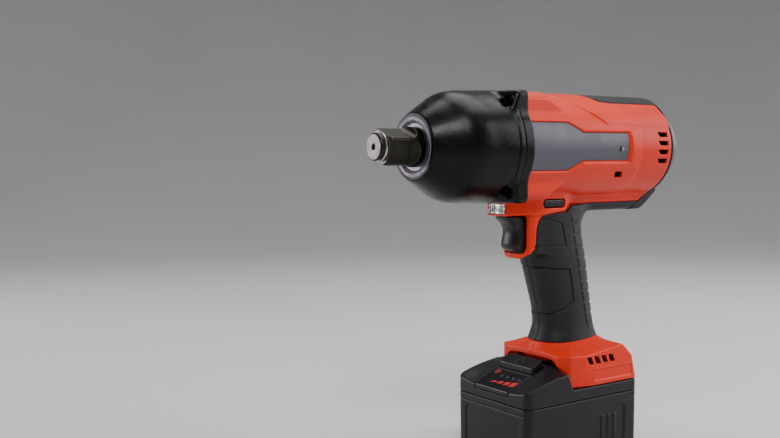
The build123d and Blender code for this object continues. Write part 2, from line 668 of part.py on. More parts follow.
# ---- Trigger, lever, lamp and electronics ----------------------------------------------
def make_controls():
    """Trigger with its switch and spring, direction lever, lamp and electronics."""
    w = TRIGGER_HALF_WIDTH
    outline = [
        (24, 148.4), (34, 147.9), (38.8, 149.6), (40.9, 152.6), (40.4, 156.5), (39.6, 160.5), (40.4, 165),
        (42.6, 169), (45.6, 172), (46.2, 173.2), (24, 173.2),
    ]
    blade = side_plate(outline, -w, w)
    flank_edges = [e for e in blade.edges() if abs(abs(e.center().Y) - w) < 0.1]
    front_edges = [e for e in flank_edges if e.center().X > 35 and e.center().Z < 171]
    blade = fillet(front_edges, 2.6)
    plan = [(15, -w), (41, -w), (44.4, -7.6), (46.0, -5), (46.6, 0), (46.0, 5), (44.4, 7.6), (41, w), (15, w)]
    blade &= plan_plate(plan, 140, 180)
    blade -= block(20, 36, -w + 2.2, w - 2.2, 150.6, 170.6)
    blade += block(17.5, 38, -3, 3, 158, 164)
    save("trigger", blade)
    save("trigger_switch", block(-13, 10.2, -9, 9, 150, 171) + block(-10, 6, -6, 6, 171, 176))
    save("trigger_spring", coil((10.8, 0, 154), (1, 0, 0), 22.0, 2.4, 0.4, 8))
    lever = rounded_bar(LEVER_X0, LEVER_X1, LEVER_HALF_WIDTH, LEVER_Z, 3.0)
    save("direction_lever", lever)
    save("led_board", block(43.2, 44.6, -8, 8, 175.5, 182.0) + block(44.6, 45.4, -1.8, 1.8, 177.0, 180.6))
    lens = block(45.6, 49.4, -8.4, 8.4, 175.2, 182.3)
    save("led_lens", fillet(lens.edges().filter_by(Axis.X), 1.2))
    save("control_board", block(-35.5, 2, -28, 28, 70.4, 72.0) + block(-33, -22, -24, -12, 72, 73.2))
    terminal = block(-46.4, -33.0, -20, 20, 56.5, RAIL_Z1 + 0.1)
    save("terminal_block", terminal)
    blades = [block(-33.0, -20.5, y - 0.5, y + 0.5, 58.5, 64.5) for y in (-15, -5, 5, 15)]
    save("contact_blades", *blades)


def rounded_bar(x0, x1, half_y, z, half_z):
    """A bar along Y with rounded long edges."""
    bar = block(x0, x1, -half_y, half_y, z - half_z, z + half_z)
    return fillet(bar.edges().filter_by(Axis.Y), half_z * 0.6)


# ---- Battery pack ----------------------------------------------------------------------
PACK_SCREWS = ((49.7, 22.0), (49.7, -22.0), (-49.7, 22.0), (-49.7, -22.0))
BUTTON_X0, BUTTON_X1 = 20.9, 31.0
BUTTON_HALF = 17.2
SLOPE_X0, SLOPE_Z0 = PACK_HALF_X, 54.8
SLOPE = 0.415


def slope_z(x):
    """Height of the hood's sloping face."""
    return SLOPE_Z0 + (SLOPE_X0 - x) * SLOPE


def pack_footprint(z0, z1, inset=0.0):
    """The pack's rounded rectangle, extruded."""
    corner = PACK_CORNER_R - inset
    return rounded_slab(-PACK_HALF_X + inset, PACK_HALF_X - inset, PACK_HALF_Y - inset, z0, z1, corner)


def make_pack_case():
    """Lower and upper cases of the battery pack."""
    wall = 2.4
    lower = pack_footprint(0, PACK_SEAM_Z)
    lower = fillet(lower.faces().sort_by(Axis.Z)[0].edges(), 2.5)
    lower -= pack_footprint(3, PACK_SEAM_Z + 1, wall)
    for x, y in PACK_SCREWS:
        boss = Pos(x, y, 24.5) * Cylinder(2.3, 43)
        lower += boss & pack_footprint(3, PACK_SEAM_Z)
        lower -= Pos(x, y, 23) * Cylinder(1.35, 60) + Pos(x, y, 2.0) * Cylinder(2.3, 6)
    save("pack_case_lower", lower)

    rear_slope = [
        (11.5, PACK_TOP_Z - 1), (20.2, slope_z(20.2)), (SLOPE_X0, SLOPE_Z0), (SLOPE_X0, PACK_TOP_Z - 1)
    ]
    hood = side_plate(rear_slope, -PACK_HALF_Y, PACK_HALF_Y)
    shoulder = [
        (-PACK_HALF_Y, 50), (-PACK_HALF_Y, 61), (-PACK_HALF_Y + 5, HOOD_TOP_Z), (PACK_HALF_Y - 5, HOOD_TOP_Z),
        (PACK_HALF_Y, 61), (PACK_HALF_Y, 50),
    ]
    hood &= extrude(Face(Wire.make_polygon([Vector(0, y, z) for y, z in shoulder])), amount=60, dir=(1, 0, 0))
    upper = pack_footprint(PACK_SEAM_Z, PACK_TOP_Z) + (hood & pack_footprint(50, 80))
    upper += block(RAIL_X0, 16, -NECK_HALF_WIDTH, NECK_HALF_WIDTH, PACK_TOP_Z - 1, RAIL_Z1)
    upper += block(RAIL_X0, 12, -RAIL_HALF_WIDTH, RAIL_HALF_WIDTH, RAIL_Z0, RAIL_Z1)
    upper -= pack_footprint(PACK_SEAM_Z - 1, PACK_TOP_Z - wall, wall)
    upper -= block(RAIL_X0 + 2, 18, -22, 22, 50, RAIL_Z1 - 1.8)
    upper -= side_plate([(16, 50), (22.5, 64.5), (26, 64.0), (46, 55.6), (49.6, 50)], -30, 30)
    upper += block(22, 32, -30.5, 30.5, 50, 51.8)
    pocket_half = BUTTON_HALF + SLIP
    upper -= block(BUTTON_X0 - SLIP, BUTTON_X1 + SLIP, -pocket_half, pocket_half, 60, 75)
    upper -= block(16, 21, -6.5, 6.5, 57.5, 67.0)
    upper -= block(-5.2, 3.4, -6.4, 6.4, 60, 70)
    for y in (-15, -5, 5, 15):
        upper -= block(RAIL_X0 - 1, RAIL_X0 + 13, y - 0.8, y + 0.8, 58.2, RAIL_Z1 + 1)
    upper -= gauge_form()
    for x, y in PACK_SCREWS:
        upper += Pos(x, y, 49.3) * Cylinder(2.3, 6.5) & pack_footprint(PACK_SEAM_Z, 53)
        upper -= Pos(x, y, 46) * Cylinder(1.25, 10)
    save("pack_case_upper", upper)
    screws = []
    for x, y in PACK_SCREWS:
        screw = Pos(x, y, 27.75) * Cylinder(1.25, 45.5) + Pos(x, y, 4.0) * Cylinder(2.2, 2.0)
        screws.append(screw - Pos(x, y, 3.0) * Cylinder(0.9, 2.0))
    save("pack_screws", *screws)


def gauge_form():
    """Charge gauge plate on the hood's slope, turned down over its front."""
    thickness = 1.6
    x0, x1, half = 33.2, PACK_HALF_X, 17.6
    outline = [
        (x0, slope_z(x0)), (x1, slope_z(x1)), (x1, 51.5), (x1 - thickness, 51.5),
        (x1 - thickness, slope_z(x1) - thickness * 0.55), (x0, slope_z(x0) - thickness),
    ]
    return side_plate(outline, -half, half)


def make_pack_inside():
    """Cells, their holders, the pack's board and its terminals."""
    cells = []
    rows = (13.0, 32.0)
    for row in rows:
        for i in range(5):
            x = (i - 2) * CELL_PITCH
            cell = tube_y(x, row, CELL_R, -CELL_LENGTH / 2, CELL_LENGTH / 2)
            cells.append(cell)
    holders = [block(-46.5, 46.5, -16, -12, 3.2, 42), block(-46.5, 46.5, 12, 16, 3.2, 42)]
    for row in rows:
        for i in range(5):
            x = (i - 2) * CELL_PITCH
            holders = [holder - tube_y(x, row, CELL_R + 0.05, -40, 40) for holder in holders]
    save("pack_cells", *cells)
    save("cell_holder", *holders)
    save("pack_board", block(-40, 24, -20, 20, 44.5, 46.1) + block(0, 14, -8, 8, 46.1, 49))
    clips = []
    for y in (-15, -5, 5, 15):
        base = block(-30, -16, y - 1.6, y + 1.6, 46.1, 58.0)
        jaw = block(-29.5, -19, y - 1.6, y + 1.6, 58.0, 63.5)
        clips.append(base + jaw - block(-31, -18.4, y - 0.65, y + 0.65, 57, 65))
    save("pack_terminals", *clips)


def make_pack_controls():
    """Release button with its latch, charge gauge and its button."""
    button = block(BUTTON_X0, BUTTON_X1, -BUTTON_HALF, BUTTON_HALF, 64.0, 72.7)
    button = fillet(button.edges().filter_by(Axis.Z), 1.2)
    slant = [(BUTTON_X1 + 1, 67.4), (BUTTON_X1 + 1, 80), (BUTTON_X0 - 1, 80), (BUTTON_X0 + 1.6, 73.5)]
    button -= side_plate(slant, -30, 30)
    arm = block(-4.6, 21.5, -6, 6, 61.0, 63.8) + block(-4.6, 2.8, -6, 6, 62, 67.6)
    wedge = side_plate([(2.8, 63.8), (2.8, 67.6), (-1.5, 67.6)], -7, 7)
    arm -= wedge & block(-10, 10, -7, 7, 66, 68)
    save("release_button", button + block(18, 30.5, -6, 6, 61.3, 66) + arm)
    save("release_spring", coil((27, 0, 52.4), (0, 0, 1), 8.4, 3.0, 0.45, 4))
    hole = gauge_key(3.45, -2.5, 1.0)
    save("gauge_panel", gauge_form() - hole)
    save("gauge_button", gauge_key(3.4, -0.9, 0.5))


GAUGE_KEY_X, GAUGE_KEY_Y = 37.0, -11.6


def gauge_key(r, low, high):
    """A round key standing on the gauge's slope."""
    normal = Vector(SLOPE, 0, 1).normalized()
    foot = Vector(GAUGE_KEY_X, GAUGE_KEY_Y, slope_z(GAUGE_KEY_X))
    plane = Plane(origin=foot + normal * low, x_dir=(0, 1, 0), z_dir=normal)
    return extrude(plane * Circle(r), amount=high - low)


make_nose()
make_hammer_case()
make_nose_boot()
make_hammer()
make_camshaft()
make_gears()
make_gearbox()
make_motor()
make_housing()
make_covers()
make_controls()
make_pack_case()
make_pack_inside()
make_pack_controls()
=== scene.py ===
"""Looks of the cordless impact wrench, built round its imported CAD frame.

Shapes are written as distance fields in millimetres: a function of x, y and z that is negative
inside a piece and zero on its surface. field_piece() turns a field into a closed mesh.
+X runs forward along the drive axis, +Y is the tool's left side, +Z is up.
"""
from functools import reduce
from math import cos, pi, radians, sin

import bpy
import numpy as np
from mathutils import Matrix, Vector


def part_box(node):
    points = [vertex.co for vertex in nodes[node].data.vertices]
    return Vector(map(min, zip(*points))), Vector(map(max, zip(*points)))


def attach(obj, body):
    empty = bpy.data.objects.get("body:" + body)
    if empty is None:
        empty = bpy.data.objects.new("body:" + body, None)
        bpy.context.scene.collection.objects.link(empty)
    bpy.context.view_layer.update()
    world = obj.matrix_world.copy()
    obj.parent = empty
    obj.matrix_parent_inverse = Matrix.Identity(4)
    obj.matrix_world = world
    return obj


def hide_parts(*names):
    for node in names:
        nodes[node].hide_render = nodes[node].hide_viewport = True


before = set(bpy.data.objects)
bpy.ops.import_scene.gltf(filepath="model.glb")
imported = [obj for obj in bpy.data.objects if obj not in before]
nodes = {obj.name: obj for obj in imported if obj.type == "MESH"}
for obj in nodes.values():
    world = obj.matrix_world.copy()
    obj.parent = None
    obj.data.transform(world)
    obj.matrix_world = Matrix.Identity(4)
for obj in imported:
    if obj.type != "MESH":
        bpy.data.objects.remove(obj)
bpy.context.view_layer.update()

MM = 0.001


def node_box(name):
    """Lowest and highest corners of a CAD node in millimetres."""
    low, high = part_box(name)
    return np.array(low) / MM, np.array(high) / MM


# ---- Sizes in millimetres ----------------------------------------------------------------
ANVIL_LOW, ANVIL_HIGH = node_box("anvil")
AXIS_Z = (ANVIL_LOW[2] + ANVIL_HIGH[2]) / 2      # height of the drive axis
PACK_LOW, PACK_HIGH = node_box("pack_case_lower")
SEAM_Z = PACK_HIGH[2]

BARREL_R = 36.3
INLAY_R = 35.5               # outside of the flank plates
BARREL_X0, BARREL_X1 = -90.0, 48.0
WALL = 3.0
PARTING = 0.07               # half the gap between the two housing halves
SHOULDER_HALF_Y, SHOULDER_HALF_Z = 28.3, 36.8
LUG_HALF_Y, LUG_HALF_Z = 31.4, 37.4
KEEL_HALF = 12.4
STRIP_Z = 181.0              # where the red keel meets the soft strip under it
STRIP_X1 = 6.0               # front of the keel and the strip, inside the grip
FOOT_Z = 54.6
GRIP_TOP_Z = 176.0
GRIP_Z = (84.0, 93.0, 106.0, 124.0, 143.0, 160.0, 176.0)
GRIP_X = (-14.5, -14.2, -12.2, -8.1, -3.6, 1.0, 1.0)
GRIP_HALF_X = (26.5, 23.0, 22.6, 23.7, 25.1, 26.0, 26.5)
GRIP_HALF_Y = (20.0, 18.2, 17.7, 18.0, 18.2, 18.5, 18.5)
GRIP_POWER = 2.35
GRIP_SKIN = 2.2
HOOD_TOP_Z = 70.6
SLOPE_LOW_Z, SLOPE = 54.8, 0.415
PACK_HALF_X, PACK_HALF_Y = PACK_HIGH[0], PACK_HIGH[1]
INLAY_OUTLINE = [
    (60, 237.6), (12.5, 237.6), (0.3, 231.0), (-44.4, 231.0), (-44.4, 211.4), (0.3, 211.4),
    (12.5, 204.9), (60, 204.9),
]
INLAY_SCREW = (-36.6, 219.6)
CAP_R = 31.1
LAMP_Y, LAMP_Z = 4.0, 178.7
RAIL_FOOT_HALF, RAIL_HEAD_HALF = 25.0, 28.0      # the pack's T rails, at their neck and head
RAIL_GAP = 0.3               # room between the rails and the foot


# ---- Distance fields ---------------------------------------------------------------------
def least(*fields):
    """Union of fields."""
    return reduce(np.minimum, fields)


def most(*fields):
    """Intersection of fields."""
    return reduce(np.maximum, fields)


def smin(a, b, k):
    """Union of two fields with a fillet of about k millimetres."""
    h = np.maximum(k - np.abs(a - b), 0) / k
    return np.minimum(a, b) - h * h * k * 0.25


def smax(a, b, k):
    """Intersection of two fields with a rounded edge of about k millimetres."""
    return -smin(-a, -b, k)


def lin(v, v0, v1):
    """0 at v0 rising straight to 1 at v1."""
    return np.clip((v - v0) / (v1 - v0), 0, 1)


def ease(v, v0, v1):
    """0 at v0 rising smoothly to 1 at v1."""
    t = lin(v, v0, v1)
    return t * t * (3 - 2 * t)


def slab(v, v0, v1):
    """Distance from the layer between v0 and v1."""
    return np.maximum(v0 - v, v - v1)


def rect(u, v, u0, u1, v0, v1, r=0.0):
    """Distance from a rectangle with rounded corners."""
    a = np.abs(u - (u0 + u1) / 2) - (u1 - u0) / 2 + r
    b = np.abs(v - (v0 + v1) / 2) - (v1 - v0) / 2 + r
    return np.hypot(np.maximum(a, 0), np.maximum(b, 0)) + np.minimum(np.maximum(a, b), 0) - r


def brick(x, y, z, low, high, r=0.0):
    """Distance from a box with rounded edges."""
    d = [np.abs(c - (p + q) / 2) - (q - p) / 2 + r for c, p, q in zip((x, y, z), low, high)]
    outside = np.sqrt(sum(np.maximum(c, 0) ** 2 for c in d))
    return outside + np.minimum(most(*d), 0) - r


def polygon(u, v, points):
    """Signed distance from a closed outline."""
    best = np.full(np.shape(u), 1e9)
    inside = np.zeros(np.shape(u), bool)
    for (u0, v0), (u1, v1) in zip(points, points[1:] + points[:1]):
        eu, ev = u1 - u0, v1 - v0
        t = np.clip(((u - u0) * eu + (v - v0) * ev) / (eu * eu + ev * ev), 0, 1)
        best = np.minimum(best, (u - u0 - t * eu) ** 2 + (v - v0 - t * ev) ** 2)
        if v0 != v1:
            crosses = (v0 > v) != (v1 > v)
            inside ^= crosses & (u < eu * (v - v0) / ev + u0)
    return np.where(inside, -1, 1) * np.sqrt(best)


def curve(t, ts, vs):
    """Smooth curve through the points (ts, vs)."""
    ts, vs = np.array(ts, float), np.array(vs, float)
    slopes = np.gradient(vs, ts)
    i = np.clip(np.searchsorted(ts, t) - 1, 0, len(ts) - 2)
    width = ts[i + 1] - ts[i]
    s = np.clip((t - ts[i]) / width, 0, 1)
    a = (1 + 2 * s) * (1 - s) ** 2 * vs[i] + s * (1 - s) ** 2 * width * slopes[i]
    return a + s * s * (3 - 2 * s) * vs[i + 1] + s * s * (s - 1) * width * slopes[i + 1]


def pill_y(x, z, cx, cz, r):
    """Distance from an endless cylinder along Y."""
    return np.hypot(x - cx, z - cz) - r


# ---- From a field to a mesh --------------------------------------------------------------
BLOCK = 8                    # grid cells along one side of a block that is sampled or skipped
REACH = 1.3                  # how near the surface, in blocks, a block has to be sampled
PULLS = 3                    # times that each point is drawn onto the surface


def sample(field, low, high, step):
    """Field values on a grid, worked out only near the surface, and the grid's axes."""
    count = np.ceil((high - low) / step / BLOCK).astype(int) * BLOCK
    axes = [low[i] + step * np.arange(count[i] + 1) for i in range(3)]
    middles = [low[i] + step * (np.arange(0, count[i], BLOCK) + BLOCK / 2) for i in range(3)]
    coarse = field(*np.meshgrid(*middles, indexing="ij"))
    near = np.abs(coarse) < BLOCK * step * REACH
    for axis in range(3):
        near = near.repeat(BLOCK, axis)
        coarse = coarse.repeat(BLOCK, axis)
    values = np.pad(coarse, ((0, 1),) * 3, mode="edge")
    wanted = np.pad(near, ((0, 1),) * 3)
    for axis in range(3):
        wanted |= np.roll(wanted, 1, axis)
    i, j, k = np.nonzero(wanted)
    values[i, j, k] = field(axes[0][i], axes[1][j], axes[2][k])
    return values


def net(values):
    """Grid points and quads of the surface where the values change sign."""
    inside = values < 0
    total = np.zeros([n - 1 for n in values.shape], np.uint8)
    for a in (0, 1):
        for b in (0, 1):
            for c in (0, 1):
                total += inside[a:a - 1 or None, b:b - 1 or None, c:c - 1 or None]
    mixed = (total > 0) & (total < 8)
    cells = np.argwhere(mixed)
    ids = np.full(mixed.shape, -1)
    ids[mixed] = np.arange(len(cells))
    summed = np.zeros((len(cells), 3))
    hits = np.zeros(len(cells))
    for axis in range(3):
        others = [n for n in range(3) if n != axis]
        along = np.eye(3, dtype=int)[axis]
        for a in (0, 1):
            for b in (0, 1):
                start = np.zeros(3, int)
                start[others[0]], start[others[1]] = a, b
                p = values[tuple((cells + start).T)]
                q = values[tuple((cells + start + along).T)]
                cut = (p < 0) != (q < 0)
                t = p[cut] / (p[cut] - q[cut])
                summed[cut] += start + t[:, None] * along
                hits[cut] += 1
    quads = []
    for axis in range(3):
        u, v = (axis + 1) % 3, (axis + 2) % 3
        lower = [slice(None)] * 3
        upper = [slice(None)] * 3
        lower[axis], upper[axis] = slice(None, -1), slice(1, None)
        for n in (u, v):
            lower[n] = slice(1, -1)
            upper[n] = slice(1, -1)
        low_in, high_in = inside[tuple(lower)], inside[tuple(upper)]
        at = np.argwhere(low_in != high_in)
        outward = low_in[tuple(at.T)]
        at[:, u] += 1
        at[:, v] += 1
        step_u, step_v = np.eye(3, dtype=int)[u], np.eye(3, dtype=int)[v]
        offsets = (0 * step_u, step_u, step_u + step_v, step_v)
        corners = [ids[tuple((at - o).T)] for o in offsets]
        face = np.stack(corners, 1)
        face[~outward] = face[~outward, ::-1]
        quads.append(face)
    return cells + summed / hits[:, None], np.concatenate(quads)


def gradient(field, p, e):
    """Direction in which a field grows, at each point."""
    g = np.empty_like(p)
    for axis in range(3):
        d = np.zeros(3)
        d[axis] = e
        g[:, axis] = (field(*(p + d).T) - field(*(p - d).T)) / (2 * e)
    return g


def mesh_of(name, verts, faces, normals=None):
    """A smooth-shaded Blender mesh from arrays, in metres."""
    mesh = bpy.data.meshes.new(name)
    mesh.vertices.add(len(verts))
    mesh.vertices.foreach_set("co", np.ascontiguousarray(verts * MM, np.float32).ravel())
    mesh.loops.add(faces.size)
    mesh.loops.foreach_set("vertex_index", faces.ravel().astype(np.int32))
    mesh.polygons.add(len(faces))
    mesh.polygons.foreach_set("loop_start", np.arange(0, faces.size, 4, dtype=np.int32))
    mesh.update(calc_edges=True)
    mesh.validate()
    mesh.shade_smooth()
    if normals is not None:
        mesh.normals_split_custom_set_from_vertices(normals)
    return mesh


def field_piece(name, field, low, high, step, mirror=False, hollow=None):
    """One closed piece from a field, between two corners. mirror flips it across Y = 0.

    hollow tells, from 0 to 1, how deep in a groove or an opening each point lies; it is stored on
    the mesh to paint shade there.
    """
    low, high = np.array(low, float), np.array(high, float)
    points, quads = net(sample(field, low, high, step))
    points = low + step * points
    for _ in range(PULLS):
        d = field(*points.T)
        g = gradient(field, points, step * 0.2)
        size = np.maximum(np.linalg.norm(g, axis=1), 0.3)
        move = np.clip(d / size, -step * 0.5, step * 0.5)
        points -= (move / size)[:, None] * g
    g = gradient(field, points, step * 0.25)
    normals = g / np.maximum(np.linalg.norm(g, axis=1), 1e-6)[:, None]
    depth = hollow(*points.T) if hollow else None
    if mirror:
        points[:, 1] *= -1
        normals[:, 1] *= -1
        quads = quads[:, ::-1]
    mesh = mesh_of(name, points, quads, normals)
    if hollow:
        layer = mesh.attributes.new("hollow", "FLOAT", "POINT")
        layer.data.foreach_set("value", depth.astype(np.float32))
    obj = bpy.data.objects.new(name, mesh)
    bpy.context.scene.collection.objects.link(obj)
    return obj


# ---- Materials ---------------------------------------------------------------------------
class Paint:
    """A material under construction: a Principled shader and helpers to feed it."""

    def __init__(self, name, colour, roughness, **inputs):
        self.material = bpy.data.materials.new(name)
        self.material.use_nodes = True
        self.tree = self.material.node_tree
        self.shader = self.tree.nodes["Principled BSDF"]
        self.place = self.add("ShaderNodeTexCoord").outputs["Object"]
        self.shader.inputs["Base Color"].default_value = (*colour, 1)
        self.shader.inputs["Roughness"].default_value = roughness
        for key, value in inputs.items():
            self.shader.inputs[key.replace("_", " ")].default_value = value
        self.bumped = None

    def add(self, kind, **settings):
        node = self.tree.nodes.new(kind)
        for key, value in settings.items():
            setattr(node, key, value)
        return node

    def link(self, a, b):
        self.tree.links.new(a, b)

    def texture(self, kind, stretch, **inputs):
        """Outputs of a texture node fed with stretched object coordinates."""
        mapping = self.add("ShaderNodeMapping")
        mapping.inputs["Scale"].default_value = stretch
        self.link(self.place, mapping.inputs["Vector"])
        node = self.add(kind)
        for key, value in inputs.items():
            node.inputs[key].default_value = value
        self.link(mapping.outputs["Vector"], node.inputs["Vector"])
        return node.outputs

    def noise(self, scale, detail=3.0, stretch=(1, 1, 1)):
        """Value of a noise whose grains are about 1/scale metres across."""
        inputs = {"Scale": scale, "Detail": detail, "Roughness": 0.55}
        return self.texture("ShaderNodeTexNoise", stretch, **inputs)["Fac"]

    def cells(self, scale, stretch=(1, 1, 1)):
        """Distance to the nearest cell point, for grain and leather patterns."""
        return self.texture("ShaderNodeTexVoronoi", stretch, Scale=scale)["Distance"]

    def ramp(self, value, low, high, start=0.3, end=0.7):
        """A value spread from low to high."""
        node = self.add("ShaderNodeMapRange")
        numbers = {"From Min": start, "From Max": end, "To Min": low, "To Max": high}
        for key, number in numbers.items():
            node.inputs[key].default_value = number
        self.link(value, node.inputs["Value"])
        return node.outputs["Result"]

    def bump(self, value, depth, strength=1.0):
        """Raise the surface by depth millimetres where the value is 1."""
        node = self.add("ShaderNodeBump")
        node.inputs["Strength"].default_value = strength
        node.inputs["Distance"].default_value = depth * MM
        self.link(value, node.inputs["Height"])
        if self.bumped:
            self.link(self.bumped, node.inputs["Normal"])
        self.bumped = node.outputs["Normal"]
        self.link(self.bumped, self.shader.inputs["Normal"])

    def roughness(self, value):
        self.link(value, self.shader.inputs["Roughness"])

    def tint(self, value, low, high, start=0.35, end=0.65):
        """Blend between two colours by a value."""
        mix = self.add("ShaderNodeMix", data_type="RGBA")
        mix.inputs["A"].default_value = (*low, 1)
        mix.inputs["B"].default_value = (*high, 1)
        self.link(self.ramp(value, 0, 1, start, end), mix.inputs["Factor"])
        self.link(mix.outputs["Result"], self.shader.inputs["Base Color"])
        return mix.outputs["Result"]

    def over(self, base, colour, factor):
        """Lay a colour over the base where the factor is 1."""
        mix = self.add("ShaderNodeMix", data_type="RGBA")
        self.link(base, mix.inputs["A"])
        mix.inputs["B"].default_value = (*colour, 1)
        self.link(factor, mix.inputs["Factor"])
        self.link(mix.outputs["Result"], self.shader.inputs["Base Color"])
        return mix.outputs["Result"]

    def edge_wear_and_highlight(self, base, edge, amount):
        """Lighter colour along the sharp outer edges: wear, and a painted edge highlight."""
        pointy = self.add("ShaderNodeNewGeometry").outputs["Pointiness"]
        return self.over(base, edge, self.ramp(pointy, 0, amount, 0.51, 0.58))

    def painted_hollow_shade(self, base, dark):
        """Painted shade: darker colour down in the grooves and openings marked on the mesh."""
        depth = self.add("ShaderNodeAttribute", attribute_name="hollow").outputs["Fac"]
        self.over(base, dark, depth)


def shade(colour, factor):
    """A colour made lighter or darker."""
    return tuple(min(1.0, c * factor) for c in colour)


def moulded(name, colour, roughness, grain=900.0, depth=0.02, sheen=0.0):
    """Moulded plastic or rubber: fine spark-eroded grain, faint flow marks and uneven gloss."""
    paint = Paint(name, colour, roughness)
    base = paint.tint(paint.noise(22, 2), shade(colour, 0.92), shade(colour, 1.07))
    # Lighter edges: wear and a painted edge highlight.
    base = paint.edge_wear_and_highlight(base, shade(colour, 1.5), 0.5)
    # Painted shade down in the grooves and openings.
    paint.painted_hollow_shade(base, shade(colour, 0.08))
    paint.roughness(paint.ramp(paint.noise(160, 4), roughness * 0.88, roughness * 1.14))
    paint.bump(paint.noise(grain, 2), depth)
    paint.bump(paint.noise(grain * 0.3, 2), depth * 0.8)
    if sheen:
        paint.shader.inputs["Sheen Weight"].default_value = sheen
        paint.shader.inputs["Sheen Roughness"].default_value = 0.4
    return paint.material


def leather(name, colour, roughness, size, depth):
    """Pebbled grain of a rubber cover."""
    paint = Paint(name, colour, roughness)
    base = paint.tint(paint.noise(30, 3), shade(colour, 0.8), shade(colour, 1.25))
    # Lighter edges: wear and a painted edge highlight.
    paint.edge_wear_and_highlight(base, shade(colour, 2.2), 0.5)
    paint.roughness(paint.ramp(paint.noise(120, 4), roughness * 0.8, roughness * 1.25))
    paint.bump(paint.cells(1000 / size), depth)
    paint.bump(paint.noise(2400 / size, 3), depth * 0.6)
    return paint.material


def metal(name, colour, roughness, turned=False, depth=0.006):
    """Machined or ground metal with tool marks and small stains."""
    paint = Paint(name, colour, roughness, Metallic=1.0)
    stains = paint.noise(70, 5)
    base = paint.tint(stains, shade(colour, 0.72), shade(colour, 1.12))
    # Lighter edges: wear and a painted edge highlight.
    paint.edge_wear_and_highlight(base, shade(colour, 1.8), 0.6)
    marks = paint.noise(260, 3, (9, 1, 1) if turned else (1, 1, 1))
    paint.roughness(paint.ramp(marks, roughness * 0.75, roughness * 1.35))
    paint.bump(marks, depth)
    return paint.material


def wound(name, colour, roughness, scale):
    """Enamelled wire laid side by side."""
    paint = Paint(name, colour, roughness, Metallic=0.85)
    wave = paint.add("ShaderNodeTexWave", bands_direction="Y")
    wave.inputs["Scale"].default_value = scale
    wave.inputs["Distortion"].default_value = 0.4
    paint.link(paint.place, wave.inputs["Vector"])
    paint.tint(wave.outputs["Fac"], shade(colour, 0.55), shade(colour, 1.1), 0.1, 0.7)
    paint.bump(wave.outputs["Fac"], 0.12)
    return paint.material


def stacked(name, colour, roughness, scale):
    """Edges of a stack of thin laminations."""
    paint = Paint(name, colour, roughness, Metallic=0.9)
    wave = paint.add("ShaderNodeTexWave", bands_direction="X")
    wave.inputs["Scale"].default_value = scale
    paint.link(paint.place, wave.inputs["Vector"])
    paint.tint(wave.outputs["Fac"], shade(colour, 0.6), shade(colour, 1.15), 0.2, 0.8)
    paint.bump(wave.outputs["Fac"], 0.05)
    return paint.material


def board(name, colour):
    """Solder-masked circuit board with faint tracks."""
    paint = Paint(name, colour, 0.38)
    tracks = paint.cells(330, (1, 1, 0.2))
    paint.tint(tracks, shade(colour, 0.7), shade(colour, 1.8), 0.1, 0.5)
    paint.bump(tracks, 0.03)
    return paint.material


RED = (0.70, 0.026, 0.006)
# Recipe, specular level where it isn't the usual one, colour, roughness and grain
RECIPES = {
    "housing_plastic": (moulded, 0.24, RED, 0.40, 1300, 0.012),
    "boot_rubber": (leather, 0.18, (0.0018, 0.0018, 0.0022), 0.30, 1.3, 0.035),
    "grip_rubber": (moulded, 0.28, (0.0115, 0.0117, 0.0135), 0.50, 1100, 0.05, 0.03),
    "inlay_plastic": (moulded, None, (0.062, 0.060, 0.078), 0.42, 1200, 0.035),
    "pack_plastic": (moulded, 0.28, (0.0075, 0.0073, 0.0098), 0.40, 1200, 0.025),
    "button_plastic": (moulded, 0.35, (0.0055, 0.0055, 0.0066), 0.34, 1500, 0.012),
    "gauge_film": (moulded, 0.35, (0.0035, 0.0035, 0.0042), 0.24, 900, 0.004),
    "case_aluminium": (metal, None, (0.17, 0.15, 0.185), 0.55, False, 0.05),
    "black_oxide_steel": (metal, None, (0.060, 0.057, 0.055), 0.33, True, 0.006),
    "bright_steel": (metal, None, (0.62, 0.61, 0.60), 0.24, True),
    "spring_steel": (metal, None, (0.30, 0.29, 0.29), 0.3),
    "screw_steel": (metal, None, (0.12, 0.12, 0.12), 0.35),
    "bushing_bronze": (metal, None, (0.15, 0.145, 0.15), 0.42, True),
    "seal_rubber": (moulded, None, (0.012, 0.012, 0.012), 0.5, 900, 0.03),
    "lamination_steel": (stacked, None, (0.22, 0.22, 0.23), 0.42, 300),
    "copper_wire": (wound, None, (0.60, 0.22, 0.07), 0.3, 260),
    "insulator_plastic": (moulded, None, (0.10, 0.095, 0.08), 0.5, 900, 0.02),
    "fan_plastic": (moulded, None, (0.02, 0.02, 0.022), 0.45, 900, 0.02),
    "board_laminate": (board, None, (0.01, 0.07, 0.03)),
    "terminal_plastic": (moulded, None, (0.018, 0.018, 0.018), 0.5, 900, 0.02),
    "contact_copper": (metal, None, (0.75, 0.42, 0.25), 0.28),
    "cap_plastic": (moulded, None, (0.10, 0.105, 0.11), 0.36, 900, 0.015),
    "cell_steel": (moulded, None, (0.03, 0.16, 0.20), 0.35, 700, 0.01),
    "gearcase_plastic": (moulded, None, (0.05, 0.05, 0.055), 0.5, 900, 0.03),
}
FINISH = {}
for name, (recipe, specular, *settings) in RECIPES.items():
    FINISH[name] = recipe(name, *settings)
    if specular:
        shader = FINISH[name].node_tree.nodes["Principled BSDF"]
        shader.inputs["Specular IOR Level"].default_value = specular


def lens_material():
    """Clear moulded lens with shallow ribs."""
    paint = Paint("lens_plastic", (0.95, 0.96, 0.92), 0.08, Transmission_Weight=0.92, IOR=1.5)
    paint.bump(paint.noise(500, 1), 0.02)
    return paint.material


FINISH["lens_plastic"] = lens_material()


def lamp_material():
    """Yellow phosphor of an unlit lamp chip."""
    paint = Paint("lamp_phosphor", (0.85, 0.62, 0.12), 0.4)
    paint.tint(paint.noise(900, 2), (0.75, 0.50, 0.08), (0.95, 0.78, 0.30))
    paint.bump(paint.noise(1500, 2), 0.02)
    return paint.material


